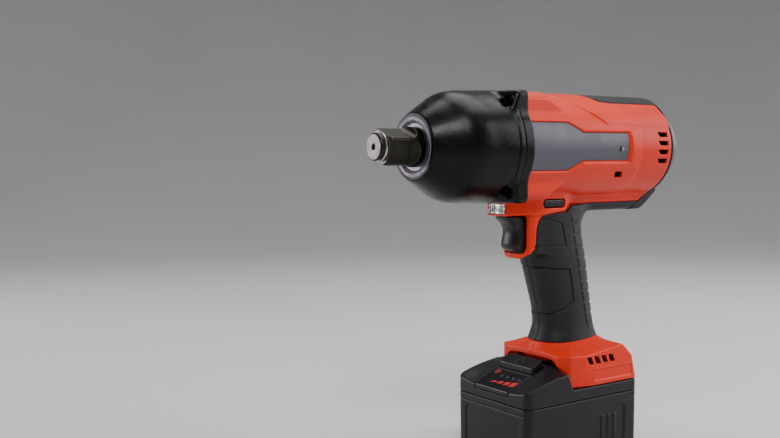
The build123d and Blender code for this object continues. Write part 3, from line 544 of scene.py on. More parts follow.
def steel_with_painted_glints(name, colour, ground, roughness):
    """Blackened steel with rounded edges, and a painted highlight along the edges and on the faces
    that look forward.
    """
    paint = Paint(name, colour, roughness, Metallic=1.0)
    geometry = paint.add("ShaderNodeNewGeometry")
    bevel = paint.add("ShaderNodeBevel", samples=6)
    bevel.inputs["Radius"].default_value = 0.7 * MM
    turn = paint.add("ShaderNodeVectorMath", operation="DOT_PRODUCT")
    paint.link(bevel.outputs["Normal"], turn.inputs[0])
    paint.link(geometry.outputs["Normal"], turn.inputs[1])
    facing_front = paint.add("ShaderNodeSeparateXYZ")
    paint.link(paint.add("ShaderNodeTexCoord").outputs["Normal"], facing_front.inputs[0])
    base = paint.tint(paint.noise(70, 5), shade(colour, 0.7), shade(colour, 1.3))
    edges = paint.ramp(turn.outputs["Value"], 0, 1, 0.995, 0.93)
    # Painted highlight along the edges.
    base = paint.over(base, shade(ground, 0.55), edges)
    # Painted highlight on the faces that look forward, where the front light falls.
    paint.over(base, ground, paint.ramp(facing_front.outputs["X"], 0, 1, 0.94, 0.98))
    marks = paint.noise(260, 3, (9, 1, 1))
    paint.roughness(paint.ramp(marks, roughness * 0.8, roughness * 1.3))
    paint.bumped = bevel.outputs["Normal"]
    paint.bump(marks, 0.005)
    return paint.material


EXTRA = {
    # Square drive: blackened steel with painted highlights on its edges and forward faces.
    "drive_steel": steel_with_painted_glints("drive_steel", (0.026, 0.025, 0.021), (0.17, 0.145, 0.15), 0.36),
    "mark_red": moulded("mark_red", (0.62, 0.012, 0.020), 0.35, 900, 0.004),
    "mark_grey": moulded("mark_grey", (0.09, 0.09, 0.10), 0.4, 900, 0.004),
    "reflector": metal("reflector", (0.62, 0.56, 0.40), 0.16),
    "lamp_phosphor": lamp_material(),
}

for node in nodes.values():
    for slot in node.material_slots:
        if slot.material and slot.material.name.split(".")[0] in FINISH:
            slot.material = FINISH[slot.material.name.split(".")[0]]
for slot in nodes["anvil"].material_slots:
    slot.material = EXTRA["drive_steel"]


def dress(obj, finish, body, *replaced, slot=None):
    """Give a piece its finish, its body and the CAD nodes that it stands for."""
    material = FINISH.get(finish) or EXTRA[finish]
    obj.data.materials.clear()
    obj.data.materials.append(material)
    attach(obj, body)
    slot or finish
    if replaced:
        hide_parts(*replaced)


# ---- Housing -----------------------------------------------------------------------------
def shoulder(x, y, w):
    """Squared front of the barrel with slanting rear ends. y and w are at or above zero."""
    section = rect(y, w, -SHOULDER_HALF_Y, SHOULDER_HALF_Y, -SHOULDER_HALF_Z, SHOULDER_HALF_Z)
    section = smax(section, (y + w - SHOULDER_HALF_Y - SHOULDER_HALF_Z + 4.4) * 0.7071, 1.2)
    rear = -0.467 * (x - 12) + 0.441 * (y - 28.1) + 0.767 * (w - 23.6)
    return smax(section, rear, 0.8)


def barrel(x, y, z):
    """Barrel with its shoulders, ridge and creases. y is at or above zero."""
    w = z - AXIS_Z
    r = np.hypot(y, w)
    angle = np.degrees(np.arctan2(w, y))
    radius = BARREL_R + 1.3 * ease(angle, 45, 80) - 0.15 * ease(angle, -5, -60)
    behind = lin(-x + 0.78 * (angle - 28), 21.6, 23.4)
    ridge_low = 21.4 + 2.4 * ease(x, -58, -49)
    radius = radius + behind * (0.95 * lin(angle, ridge_low, 28.2) - 0.45 * lin(angle, 40.4, 42))
    radius = radius + 0.7 * lin(angle, -24.2, -22.8) * ease(x, -56, -48) * ease(angle, 22, 10)
    radius = radius + 0.35 * ease(x, -57.5, -55.0) * ease(angle, 24, 16)
    d = r - radius
    d = smin(d, shoulder(x, y, np.abs(w)), 1.0)
    pocket = polygon(x, z, INLAY_OUTLINE) - 1.15 * np.maximum(r - INLAY_R, 0)
    pocket = np.maximum(pocket, np.maximum(INLAY_R - 0.8 - r, 10 - y))
    d = smax(d, -pocket * 0.8, 0.35)
    back = BARREL_X0 + 0.2
    return smax(smax(d, back - x, 2.2), x - BARREL_X1, 0.8)


def keel_plane(x, z):
    """Distance forwards from the slanting cut between the keel and the heel behind it."""
    return (x + 80.2) * 0.592 + (z - 180.8) * 0.806


def keel(x, y, z):
    """Spine under the barrel, red down to the soft strip."""
    d = smax(y - KEEL_HALF, 175.0 - z, 5.0)
    return most(d, z - 200.0, -keel_plane(x, z), x - STRIP_X1)


BROW_X = (-18.0, -12.0, -5.0, 1.0, 9.0, 20.0, 33.0, 43.0, 49.2)
BROW_HALF = (12.0, 12.6, 15.6, 17.9, 18.3, 18.0, 15.2, 11.6, 10.0)
BROW_UNDER = [
    (60, 173.4), (60, 200), (-24, 200), (-24, 181), (-6.4, 181), (0.2, 175.6), (26, 174.6),
]


def brow(x, y, z):
    """Housing over the trigger, narrowing forward to the lamp and rearward to the keel."""
    side = y - curve(x, BROW_X, BROW_HALF)
    d = smax(side, polygon(x, z, BROW_UNDER), 2.0)
    d = smax(d, x - 49.0, 1.6)
    groove = np.hypot(x - 46.4, np.minimum(np.abs(side), np.abs(z - 173.7))) - 0.5
    d = smax(d, -groove, 0.3)
    return np.maximum(d, z - 196.0)


# Side view of what shows red below the barrel; the soft grip covers the rest
RED_FRONT = [
    (60, 142), (60, 190), (-24, 190), (-24, 181), (-6.4, 181), (0.2, 175.6), (19.2, 174.8),
    (21.4, 172.8), (23.5, 169.8), (25.3, 165.5), (26.2, 154), (27.2, 150.8), (29.2, 147.8),
    (32.0, 145.4), (33, 142),
]
GUARD_HALF = 15.3


def guard(x, y, z):
    """Frame behind the trigger, sweeping forward under it to a chin."""
    post = rect(x, y, 8, 30.4, -GUARD_HALF, GUARD_HALF, 5.5)
    post = np.maximum(post, slab(z, 148.0, 184))
    low = curve(x, (8, 22, 30, 36, 38.5), (146.0, 144.2, 143.6, 144.7, 147))
    top = curve(x, (8, 24, 30, 34, 38.5), (151, 150.4, 149.0, 148.0, 148.0))
    half = GUARD_HALF * np.sqrt(np.clip(1 - lin(x, 22, 35.2) ** 2.2, 0, 1))
    chin = smax(smax(low - z, z - top, 1.8), (y - half) * 0.75, 2.4)
    chin = smax(chin, slab(x, 8, 34.8), 1.6)
    return smax(smin(post, chin, 4.0), polygon(x, z, RED_FRONT), 0.5)


def collar_z(x):
    """Height of the seam between the foot and the soft grip."""
    return 82.3 + 2.4 * lin(x, 2, -38)


def collar_ratio(x, y):
    """1 on the outline of the grip's collar, growing outwards."""
    u = np.abs((x - GRIP_X[0]) / (GRIP_HALF_X[0] + 0.5))
    v = np.abs(y / (GRIP_HALF_Y[0] + 0.5))
    return (u ** 2.3 + v ** 2.3) ** (1 / 2.3)


FOOT_SIDE = [
    (9.8, FOOT_Z), (16.4, 69.5), (15.8, 90), (-29.3, 90), (-38.5, 80.4), (-47.4, 72.0),
    (-51.6, FOOT_Z),
]
FOOT_HALF = 37.2


def foot(x, y, z):
    """Foot that takes the pack: side panels, cut corners and a saddle up to the collar."""
    d = smax(y - FOOT_HALF, polygon(x, z, FOOT_SIDE), 1.0)
    facet = 0.170 * (x - 0.3) + 0.982 * (y - FOOT_HALF) - 0.080 * (z - 76)
    d = smax(d, facet, 0.5)
    chamfer = 0.80 * (x - 15.4) + 0.60 * (y - 29.5)
    d = smax(d, chamfer, 1.2)
    edge = 76.4 + 4.2 * lin(x, 0, -36) + 1.0 * ease(y, 28, 8) * ease(x, 0, 12)
    to_collar = np.maximum((collar_ratio(x, y) - 1.0) * 24, 0)
    to_edge = np.maximum(-rect(x, y, -40.5, 15.6, -FOOT_HALF, FOOT_HALF), 0)
    rise = to_edge / (to_edge + to_collar + 0.01)
    saddle = edge + (collar_z(x) + 0.6 - edge) * (0.75 * rise + 0.25 * rise ** 2.5)
    d = smax(d, (z - saddle) * 0.88, 0.8)
    arch = np.maximum(smax(chamfer + 2.0, z - 73.3, 6.0), np.maximum(5.0 - x, y - 33))
    return smax(d, -arch, 0.6)


def grip_ratio(x, y, z, inset):
    """Distance from the grip column, smaller all round by an inset."""
    a = curve(z, GRIP_Z, GRIP_HALF_X) - inset
    b = curve(z, GRIP_Z, GRIP_HALF_Y) - inset
    u, v = x - curve(z, GRIP_Z, GRIP_X), y
    ratio = (np.abs(u / a) ** GRIP_POWER + np.abs(v / b) ** GRIP_POWER) ** (1 / GRIP_POWER)
    ratio = np.maximum(ratio, 1e-3)
    return np.hypot(u, v) * (1 - 1 / ratio)


# Screw places in side view, with how far each head lies from the middle plane
GRIP_SCREW = (-19.0, 112.0, 12.0)
HOUSING_SCREWS = (
    (-82.0, 182.5, 7.5), (-28.0, 182.5, 7.5), (33.0, 180.0, 11.0), GRIP_SCREW, (8.0, 72.0, 12.0),
)
VENT_Z = (230.0, 223.7, 217.4, 211.0)


def openings(x, y, z):
    """Everything cut through the housing: vents, slot, lamp window, trigger gap and rails."""
    cuts = []
    for z0 in VENT_Z:
        outline = [(-85.2, z0 - 1.45), (-77.3, z0 - 1.45), (-75.2, z0 + 1.45), (-85.2, z0 + 1.45)]
        cuts.append(np.maximum(polygon(x, z, outline) - 0.15, 20 - y))
    small = [(-42.6, 200.0), (-35.6, 200.0), (-33.7, 203.6), (-40.7, 203.6)]
    cuts.append(np.maximum(polygon(x, z, small) - 0.1, 20 - y))
    cuts.append(np.maximum(pill_y(x, z, *INLAY_SCREW, 1.7), 20 - y))
    for i in range(4):
        x0 = -4.0 - 7.0 * i
        outline = [(x0 - 4.6, 69.9), (x0 - 0.6, 69.9), (x0 + 1.9, 74.8), (x0 - 2.1, 74.8)]
        cuts.append(np.maximum(polygon(x, z, outline) - 0.1, 30 - y))
    cuts.append(np.maximum(rect(x, z, 0.5, 21.5, 178.8, 185.2, 2.2), 9.0 - y))
    cuts.append(np.maximum(rect(y, z, -8.5, 8.5, 175.0, 182.5, 1.0), 43 - x))
    aperture = rect(x, z, 17.2, 60.0, 147.4, 173.5, 4.5)
    cuts.append(np.maximum(aperture, y - 9.5))
    neck = rect(y, z, -RAIL_FOOT_HALF - RAIL_GAP, RAIL_FOOT_HALF + RAIL_GAP, 40, 60.6)
    head = rect(y, z, -RAIL_HEAD_HALF - RAIL_GAP, RAIL_HEAD_HALF + RAIL_GAP, 60.3, 66.3)
    cuts.append(np.maximum(np.minimum(neck, head), -46.8 - x))
    cuts.append(brick(x, y, z, (-6, -8, 60), (60, 8, 68.2)))
    return least(*cuts)


def cavity(x, y, z):
    """Hollow inside of the housing."""
    w = z - AXIS_Z
    return least(
        np.maximum(np.hypot(y, w) - (BARREL_R - WALL), slab(x, -100, 60)),
        brick(x, y, z, (-88, -8.5, 178.6), (-12, 8.5, 200)),
        brick(x, y, z, (-14, -9.6, 186), (44, 9.6, 200)),
        brick(x, y, z, (-14, -9.6, 148), (19, 9.6, 179)),
        np.maximum(grip_ratio(x, y, z, GRIP_SKIN + 2.8), slab(z, 70, GRIP_TOP_Z)),
        brick(x, y, z, (-40, -30, 70), (4, 30, 73.0)),
    )


def housing_shell(x, y, z):
    """Outside of the whole red housing. y is at or above zero."""
    top = brow(x, y, z)
    d = smin(barrel(x, y, z), np.maximum(keel(x, y, z), STRIP_Z - z), 2.2)
    return least(smin(d, top, 2.4), smin(guard(x, y, z), top, 4.0), foot(x, y, z))


def label_recess(x, y, z):
    """Plain sunk field on the foot's side, with a raised rim round it."""
    box = rect(x, z, -47.0, -9.4, 58.2, 65.6, 1.0)
    box = np.maximum(box, 36 - y)
    return 0.5 * lin(box, 0.35, -0.35) - 0.3 * lin(np.abs(box - 0.9), 0.8, 0.3)


def housing_hollow(x, y, z):
    """Depth of a point inside the vents and the other small openings of the housing, used to paint
    shade there.
    """
    a = np.abs(y)
    rear, small = rect(x, z, -86.5, -74.0, 207, 233.5), rect(x, z, -44, -32.5, 198, 205)
    vents = least(rear, small, rect(x, z, -32, 0.5, 68.5, 76.5))
    return lin(-housing_shell(x, a, z), 0.35, 1.3) * (vents < 0) * 0.97


def housing(right):
    """Field of one half of the housing. The screws go in from the right."""
    def field(x, y, z):
        a = np.abs(y)
        d = housing_shell(x, a, z)
        d = d + label_recess(x, a, z)
        core = np.maximum(grip_ratio(x, a, z, GRIP_SKIN + 0.15), slab(z, 80, 180))
        d = np.minimum(d, core)
        d = smax(d, -pad_form(x, a, z, -1.5), 0.4)
        d = smax(d, -openings(x, a, z), 0.45)
        d = np.maximum(d, -cavity(x, a, z))
        d = np.maximum(d, -np.maximum(np.hypot(a, z - AXIS_Z) - 30.5, slab(x, 19.5, 60)))
        for x0, z0, reach in HOUSING_SCREWS:
            post = np.maximum(pill_y(x, z, x0, z0, 3.4), a - reach)
            d = np.minimum(d, post)
            if right:
                d = smax(d, -np.maximum(pill_y(x, z, x0, z0, 2.95), reach - a), 0.5)
        return smax(d, PARTING - y, 0.5)
    return field


# ---- Soft covers ---------------------------------------------------------------------------
def pad_form(x, y, z, inset):
    """Soft pad over the rear top of the barrel, coming to a point in front."""
    w = z - AXIS_Z
    r = np.hypot(y, w)
    top = BARREL_R + 1.3 + 0.6
    half = np.interp(x, (-89, -80, -31, -24, -17), (19.3, 19.3, 18.7, 11.0, 0.0))
    side = (y - half) * 0.8
    d = smax(r - top - (2.0 if inset < 0 else 0), side, 0.6)
    return most(d, BARREL_R - 1.0 - r, slab(x, -96, -10), 230 - z)


def heel_plane(x, z):
    """Distance outwards from the slanting underside of the barrel's rear end."""
    return -(x + 83.2) * 0.604 - (z - 174.6) * 0.797


HEEL_OVERLAP = 0.1184        # how far the heel reaches over the keel's cut


def bumper(x, y, z):
    """Pad, rim round the barrel's rear and heel under it."""
    a = np.abs(y)
    w = z - AXIS_Z
    r = np.hypot(a, w)
    pad = smax(pad_form(x, a, z, 0.0), -90.5 - x, 0.5)
    angle = np.degrees(np.arctan2(w, a))
    outer = 36.2 + 1.0 * ease(angle, 30, 58)
    rim = smax(slab(r, 31.2, outer), slab(x, -93.2, -89.9), 0.8)
    rim = smax(rim, (r - outer) * 0.70 - (x + 91.0) * 0.71 - 0.1, 0.8)
    heel = smax(a - 12.6, 174.8 - z, 3.0)
    heel = smax(heel, heel_plane(x, z), 2.0)
    heel = most(heel, keel_plane(x, z) - HEEL_OVERLAP, z - 195, 33 - r)
    return smin(np.minimum(pad, rim), heel, 1.0)


def rear_cap(x, y, z):
    """Domed cap with a ring of slots and a central boss."""
    w = z - AXIS_Z
    r = np.hypot(y, w)
    dome = curve(r, (0, 18, 25, 28.5, 30.4, 31.2), (-102.9, -102.9, -102.8, -102.1, -100.9, -98.5))
    d = smax(dome - x, r - CAP_R, 0.8)
    d = np.maximum(d, x + 92.0)
    shell = np.maximum(d, -(np.maximum(r - 28.0, dome + 2.6 - x)))
    boss = np.maximum(slab(r, 11.2, 13.8), slab(x, -101, -83.6))
    d = np.minimum(shell, boss)
    angle = np.arctan2(w, y)
    turn = 2 * pi / 20
    near = (angle + turn / 2) % turn - turn / 2
    slots = np.maximum(np.abs(near) * r - 1.2, slab(r, 15.0, 23.5))
    d = smax(d, -np.maximum(slots, x - dome - 1.8), 0.4)
    ring = np.abs(r - 26.0) - 0.5
    return smax(d, -np.maximum(ring, x - dome - 0.7), 0.4)


def cap_hollow(x, y, z):
    """Depth of a point in the slots of the rear cap, used to paint shade there."""
    r = np.hypot(y, z - AXIS_Z)
    slot = lin(x, -102.4, -101.4) * (r > 14.5) * (r < 24) * (x < -100)
    return 0.95 * slot


PANEL_HIGH = [(60, 174.5), (23.4, 172.4), (4.5, 167.7), (0.4, 152.1), (26.0, 152.9), (60, 154)]
PANEL_LOW = [
    (60, 138.6), (31, 137.8), (-3.8, 134.8), (-8.6, 111.5), (-2.0, 106.4), (8.9, 102.3),
    (18, 101.6), (60, 104),
]
RIDGE_Z = (167.1, 159.8, 151.2, 143.5, 134.9, 126.0, 118.9, 110.5, 102.7)
RIDGE_DROP = 2.6             # how far the ridges sag towards the back


def column_edge(z):
    """Front edge of the stepped column down the grip's back."""
    return -5.0 + (z - 169.2) * 0.2227


def ridge_height(z, behind):
    """Height measured along the sagging ridges."""
    return z + RIDGE_DROP * ease(behind, 0, 20)


def grip_surface(x, y, z):
    """Grip with its two side panels and the stepped column down its back."""
    d = grip_ratio(x, y, z, 0.0)
    d = smax(d, (z - GRIP_TOP_Z - 3), 1.0)
    for panel in (PANEL_HIGH, PANEL_LOW):
        s = polygon(x, z, panel)
        d = d + 0.35 * lin(s, 0.3, -0.3) + 0.75 * lin(np.abs(s), 0.75, 0.2)
    inside_low = lin(polygon(x, z, PANEL_LOW), -0.5, -2.0)
    facet = 28.0 + (z - 110.5) * 0.2134 - 9.6
    d = d + 0.30 * lin(np.abs(x - facet), 0.6, 0.1) * inside_low * lin(y, 3, 6)
    behind = column_edge(z) - x
    tall = ridge_height(z, behind)
    raised = np.zeros(np.shape(z))
    for low, high in zip(RIDGE_Z[1:], RIDGE_Z[:-1]):
        inside = lin(tall, low + 0.3, low + 1.2) * lin(tall, high - 0.3, high - 0.9)
        raised = np.maximum(raised, inside)
    raised = np.maximum(raised, lin(tall, RIDGE_Z[0] + 0.3, RIDGE_Z[0] + 1.2))
    raised = np.maximum(raised, lin(tall, RIDGE_Z[-1] - 0.3, RIDGE_Z[-1] - 0.9))
    span = lin(z, 88, 96) * lin(z, 175, 171)
    return d - 0.7 * raised * lin(behind, -0.4, 1.0) * span + 0.2 * lin(behind, 0, 4) * span


def grip_hollow(x, y, z):
    """Depth of a point in the grooves of the grip, used to paint shade there."""
    a = np.abs(y)
    line = np.zeros(np.shape(x))
    for panel in (PANEL_HIGH, PANEL_LOW):
        line = np.maximum(line, lin(np.abs(polygon(x, z, panel)), 0.95, 0.35))
    behind = column_edge(z) - x
    tall = ridge_height(z, behind)
    for z0 in RIDGE_Z:
        step = lin(np.abs(tall - z0), 0.8, 0.3) * lin(behind, -0.4, 0.6)
        line = np.maximum(line, 0.8 * step)
    edge = lin(np.abs(behind), 0.7, 0.2) * lin(z, 92, 98) * lin(z, 172, 168)
    line = np.maximum(line, 0.35 * edge)
    return 0.9 * line * (a > 2) * (z > 88) * (z < 176)


def grip(right):
    """Field of one half of the soft cover. The right half has a screw hole."""
    def field(x, y, z):
        d = grip_half(x, y, z)
        if right:
            x0, z0, reach = GRIP_SCREW
            d = smax(d, -np.maximum(pill_y(x, z, x0, z0, 2.9), reach - y), 0.4)
        return d
    return field


def grip_half(x, y, z):
    """Soft cover of the grip and the strip under the barrel, on one side."""
    a = np.abs(y)
    cheek = rect(x, a, -8, 28.0, -GUARD_HALF - 0.35, GUARD_HALF + 0.35, 5.2)
    cheek = smax(cheek, slab(z, 146.6, 190), 2.0)
    column = smin(grip_surface(x, a, z), cheek, 5.0)
    column = np.maximum(column, collar_z(x) - z)
    strip = smax(smax(a - KEEL_HALF - 0.1, 175.2 - z, 4.0), x - STRIP_X1, 1.0)
    strip = smax(strip, heel_plane(x, z), 1.0)
    strip = smax(strip, -79.6 - x, 0.2)
    strip = np.maximum(strip, z - STRIP_Z + 0.12)
    d = smin(column, strip, 9.0)
    d = np.maximum(d, z - STRIP_Z + 0.12)
    d = smax(d, 0.2 - polygon(x, z, RED_FRONT), 0.5)
    inner = np.maximum(grip_ratio(x, a, z, GRIP_SKIN), z - 182)
    inner = np.minimum(inner, brick(x, a, z, (-88, -10, 178.2), (0, 10, 200)))
    d = np.maximum(d, -inner)
    return smax(d, PARTING - y, 0.6)


def inlay(x, y, z):
    """Thin plate let into the flank of the barrel."""
    w = z - AXIS_Z
    r = np.hypot(y, w)
    d = smax(polygon(x, z, INLAY_OUTLINE) + 0.2, r - INLAY_R, 0.4)
    d = np.maximum(d, INLAY_R - 1.6 - r)
    d = smax(d, x - 47.9, 0.3)
    d = smax(d, -pill_y(x, z, *INLAY_SCREW, 1.6), 0.4)
    return np.maximum(d, 10 - y)


# ---- Nose ----------------------------------------------------------------------------------
BOOT_PROFILE = (
    (48.2, 38.15), (54.0, 38.15), (62.0, 38.1), (78.0, 37.6), (91.0, 36.95), (95.5, 36.1),
    (99.5, 34.5), (104.0, 31.7), (112.0, 26.9), (119.0, 22.4), (121.0, 21.0),
)
BOOT_X0, BOOT_X1 = 48.15, 119.7
CONE_X = 99.0                # where the boot starts to taper
SCOOP_R, SCOOP_ORBIT, SCOOP_ANGLE = 3.9, 39.09, 49.78


def boot(x, y, z):
    """Rubber boot: round in front, squared with four lugs at the back, with screw scoops."""
    a, w = np.abs(y), np.abs(z - AXIS_Z)
    r = np.hypot(a, w)
    radius = curve(x, *zip(*BOOT_PROFILE))
    d = (r - radius) * np.where(x > CONE_X, 0.86, 1.0)
    for x0, depth in ((61.2, 0.75), (56.6, 0.4)):
        d = d + depth * lin(np.abs(x - x0), 0.9, 0.15)
    lug = rect(a, w, -LUG_HALF_Y, LUG_HALF_Y, -LUG_HALF_Z, LUG_HALF_Z, 4.0)
    lug = smax(lug, (x - 61.5) * 0.85 + (r - 40) * 0.5, 2.5)
    d = smin(d, lug, 2.0)
    angle = radians(SCOOP_ANGLE)
    scoop = np.hypot(a - SCOOP_ORBIT * cos(angle), w - SCOOP_ORBIT * sin(angle)) - SCOOP_R
    scoop = smax(scoop, 59.2 - x, 1.5)
    scoop = smax(scoop, (x - 66) * 0.5 + (37.9 - r) * 0.8, 1.0)
    d = smax(d, -scoop, 1.4)
    d = smax(d, BOOT_X0 - x, 1.2)
    d = smax(d, x - BOOT_X1, 0.8)
    inner = curve(x, (48, 58, 90, 97, 104, 112, 121), (35.4, 35.4, 34.2, 32.4, 28.4, 23.3, 17.6))
    return smax(d, inner - r, 0.5)


# ---- Trigger, lever and lamp ---------------------------------------------------------------
TRIGGER_Z = (147.6, 148.6, 150.6, 153.4, 157.0, 161.0, 164.0, 168.0, 171.4, 173.4)
TRIGGER_X = (31.0, 36.0, 39.3, 40.4, 39.8, 38.9, 39.1, 41.4, 45.0, 46.4)


def trigger(x, y, z):
    """Finger blade with a hollowed front, rounded edges and stepped-in flanks."""
    a = np.abs(y)
    front = curve(z, TRIGGER_Z, TRIGGER_X) - 0.028 * a * a
    face = (x - front) * 0.92
    d = smax(face, a - 9.0, 4.2)
    back = face + 8.5
    flank = smax(a - 7.9, x - 60, 0.5)
    d = smax(d, np.where(back < 0, flank, a - 9.0 + 0 * x), 0.6)
    bottom = 147.9 + 1.2 * ease(x, 32, 24)
    d = smax(d, bottom - z, 2.6)
    d = smax(d, z - 173.1, 0.6)
    return smax(d, 17.6 - x, 0.5)


LEVER_MARK = [
    (6.0, 182.0), (8.6, 183.5), (8.6, 182.5), (15.5, 182.5), (15.5, 181.5), (8.6, 181.5),
    (8.6, 180.5),
]


def lever(x, y, z):
    """Sliding bar with rounded ends and a small raised mark on each."""
    a = np.abs(y)
    d = rect(x, z, 1.2, 20.8, 179.3, 184.7, 1.9)
    d = smax(d, a - 17.3, 1.2)
    mark = polygon(x, z, LEVER_MARK)
    return np.minimum(d, smax(mark, slab(a, 16.5, 17.6), 0.2))


def lens(x, y, z):
    """Window over the two lamps."""
    d = rect(y, z, -8.25, 8.25, 175.2, 182.3, 1.0)
    d = smax(d, slab(x, 47.4, 49.2), 0.5)
    dish = np.hypot(np.hypot(np.abs(y) - LAMP_Y, z - LAMP_Z), x - 52.4) - 4.2
    return smax(d, -dish, 0.3)


def reflector(x, y, z):
    """Bright tray behind the window with a cup round each lamp."""
    d = rect(y, z, -8.2, 8.2, 175.3, 182.2, 0.8)
    d = np.maximum(d, slab(x, 45.7, 47.2))
    cup = np.hypot(np.abs(y) - LAMP_Y, z - LAMP_Z) - 1.6 - (x - 45.7) * 1.2
    return smax(d, -cup, 0.3)


def lamps(x, y, z):
    """Two lamp chips."""
    a = np.abs(y)
    chip = brick(x, a, z, (45.4, LAMP_Y - 1, LAMP_Z - 1), (46.1, LAMP_Y + 1, LAMP_Z + 1), 0.2)
    dome = np.sqrt((x - 46.0) ** 2 + (a - LAMP_Y) ** 2 + (z - LAMP_Z) ** 2) - 0.8
    return smin(chip, dome, 0.2)


# ---- Battery pack --------------------------------------------------------------------------
def slope_z(x):
    """Height of the hood's sloping face."""
    return SLOPE_LOW_Z + (PACK_HALF_X - x) * SLOPE


def footprint(x, y, inset=0.0, r=5.0):
    """Distance from the pack's rounded rectangle."""
    hx, hy = PACK_HALF_X - inset, PACK_HALF_Y - inset
    return rect(x, y, -hx, hx, -hy, hy, r)


def pack_lower(x, y, z):
    """Tub of the pack with sunk side and front panels."""
    a = np.abs(y)
    d = footprint(x, a) + 0.5 * lin(z, 44.5, 0)
    side = rect(x, z, -40, 33, 7, 37.5, 3.0)
    d = d + 0.8 * lin(side, 0.5, -0.5) * lin(a, 34, 36)
    front = rect(a, z, -28, 28, 7, 38, 3.0)
    d = d + 0.6 * lin(front, 0.5, -0.5) * lin(np.abs(x), PACK_HALF_X - 4, PACK_HALF_X - 1.5)
    for x0 in (-30, -24, -18):
        rib = rect(x, z, x0 - 1.2, x0 + 1.2, 12, 32, 1.1)
        d = d - 0.7 * lin(rib, 0.4, -0.4) * lin(a, 34, 36)
    d = d + 0.55 * lin(np.abs(z - 40.8), 0.7, 0.15)
    d = smax(d, 0.05 - z, 3.0)
    d = smax(d, z - SEAM_Z + 0.15, 0.9)
    inner = np.maximum(footprint(x, a, 2.6, 3.0), 3 - z)
    return np.maximum(d, -inner)


def pack_upper(x, y, z):
    """Top case: hood with its slope, rails, button pocket and gauge recess."""
    a = np.abs(y)
    edge = curve(x, (8, 14, 28, 38, 48, 53.7), (67.4, 66.2, 64.0, 62.0, 59.2, 57.0))
    crown = np.minimum(HOOD_TOP_Z, slope_z(x))
    top = edge + (crown - edge) * ease(a, 37.3, 19.5)
    rear = (10.6 - x) + (z - 54.2) * 0.45
    hood = smax((z - top) * 0.9, rear * 0.87, 1.0)
    d = smax(footprint(x, a), np.minimum(hood, z - 54.2), 1.6)
    d = smax(d, SEAM_Z + 0.15 - z, 0.9)
    neck = rect(a, z, -RAIL_FOOT_HALF, RAIL_FOOT_HALF, 50, 66)
    head = rect(a, z, -RAIL_HEAD_HALF, RAIL_HEAD_HALF, 60.7, 66)
    rails = smax(np.minimum(neck, head), slab(x, -32, 16), 0.6)
    d = np.minimum(d, rails)
    d = smax(d, -brick(x, y, z, (20.4, -17.6, 59), (31.3, 17.6, 80), 0.8), 0.5)
    gauge = np.maximum(rect(x, a, 33.0, 60, -17.8, 17.8, 1.0), slope_z(x) - 1.6 - z)
    sides = a - 17.8 - (z - SLOPE_LOW_Z) * 0.25
    notch = np.maximum(sides, np.maximum(PACK_HALF_X - 1.7 - x, 51.4 - z))
    d = smax(d, -np.minimum(gauge, notch), 0.6)
    room = np.maximum(footprint(x, a, 2.5, 3.0), z - 51.8)
    tower = brick(x, y, z, (-30, -22, 45), (18, 22, 64.2))
    slots = [brick(x, a, z, (-34, y0 - 0.8, 58.2), (-19, y0 + 0.8, 70)) for y0 in (5, 15)]
    latch = brick(x, y, z, (-5.2, -6.4, 60), (3.4, 6.4, 70))
    return np.maximum(d, -least(room, tower, *slots, latch))


KEY_X, KEY_Y = 37.0, -11.6
SLOPE_NORMAL = np.array((SLOPE, 0.0, 1.0)) / np.hypot(SLOPE, 1.0)


def gauge_panel(x, y, z):
    """Gauge plate on the slope, turned down over the front."""
    a = np.abs(y)
    top = slope_z(x)
    d = smax(rect(x, a, 33.3, PACK_HALF_X - 0.1, -17.5, 17.5, 0.8), (z - top) * 0.92, 0.7)
    lip = np.maximum(PACK_HALF_X - 1.6 - x, 51.7 - z)
    d = smax(d, np.minimum(top - 1.5 - z, lip), 0.3)
    d = smax(d, a - 17.2 - (z - SLOPE_LOW_Z) * 0.2, 0.5)
    key = slope_disc(x, y, z, KEY_X, KEY_Y, 3.45)
    return smax(d, -key, 0.2)


def on_slope(x, y, z, x0, y0):
    """Distances down the slope, across it and out of it, from a point on it."""
    dx, dy, dz = x - x0, y - y0, z - slope_z(x0)
    out = dx * SLOPE_NORMAL[0] + dz * SLOPE_NORMAL[2]
    down = dx * SLOPE_NORMAL[2] - dz * SLOPE_NORMAL[0]
    return down, dy, out


def slope_disc(x, y, z, x0, y0, r):
    """Distance from an endless cylinder square to the slope."""
    down, across, _ = on_slope(x, y, z, x0, y0)
    return np.hypot(down, across) - r


def gauge_key(x, y, z):
    """Round key of the gauge, slightly dished."""
    down, across, out = on_slope(x, y, z, KEY_X, KEY_Y)
    r = np.hypot(down, across)
    d = smax(r - 3.3, out - 0.35 - 0.02 * r * r, 0.5)
    return np.maximum(d, -0.9 - out)


def key_mark(x, y, z):
    """Raised ring with a stroke, the usual sign of a power key."""
    down, across, out = on_slope(x, y, z, KEY_X, KEY_Y)
    r = np.hypot(down, across)
    ring = np.abs(r - 1.75) - 0.28
    gap = rect(down, across, -3.0, 0.0, -0.75, 0.75)
    ring = np.maximum(ring, -gap)
    stroke = rect(down, across, -2.3, -0.1, -0.28, 0.28)
    return smax(np.minimum(ring, stroke), slab(out, 0.1, 0.55), 0.15)


GAUGE_DOT_Y = (-4.4, 1.6, 7.6, 13.6)
GAUGE_DOT_X = 39.9
GAUGE_BAR_X = 46.3


def gauge_dots(x, y, z):
    """Four charge lamps."""
    dots = []
    for y0 in GAUGE_DOT_Y:
        down, across, out = on_slope(x, y, z, GAUGE_DOT_X, y0)
        ring = np.abs(np.hypot(down, across) - 0.85) - 0.25
        dots.append(np.maximum(ring, slab(out, -0.3, 0.12)))
    return least(*dots)


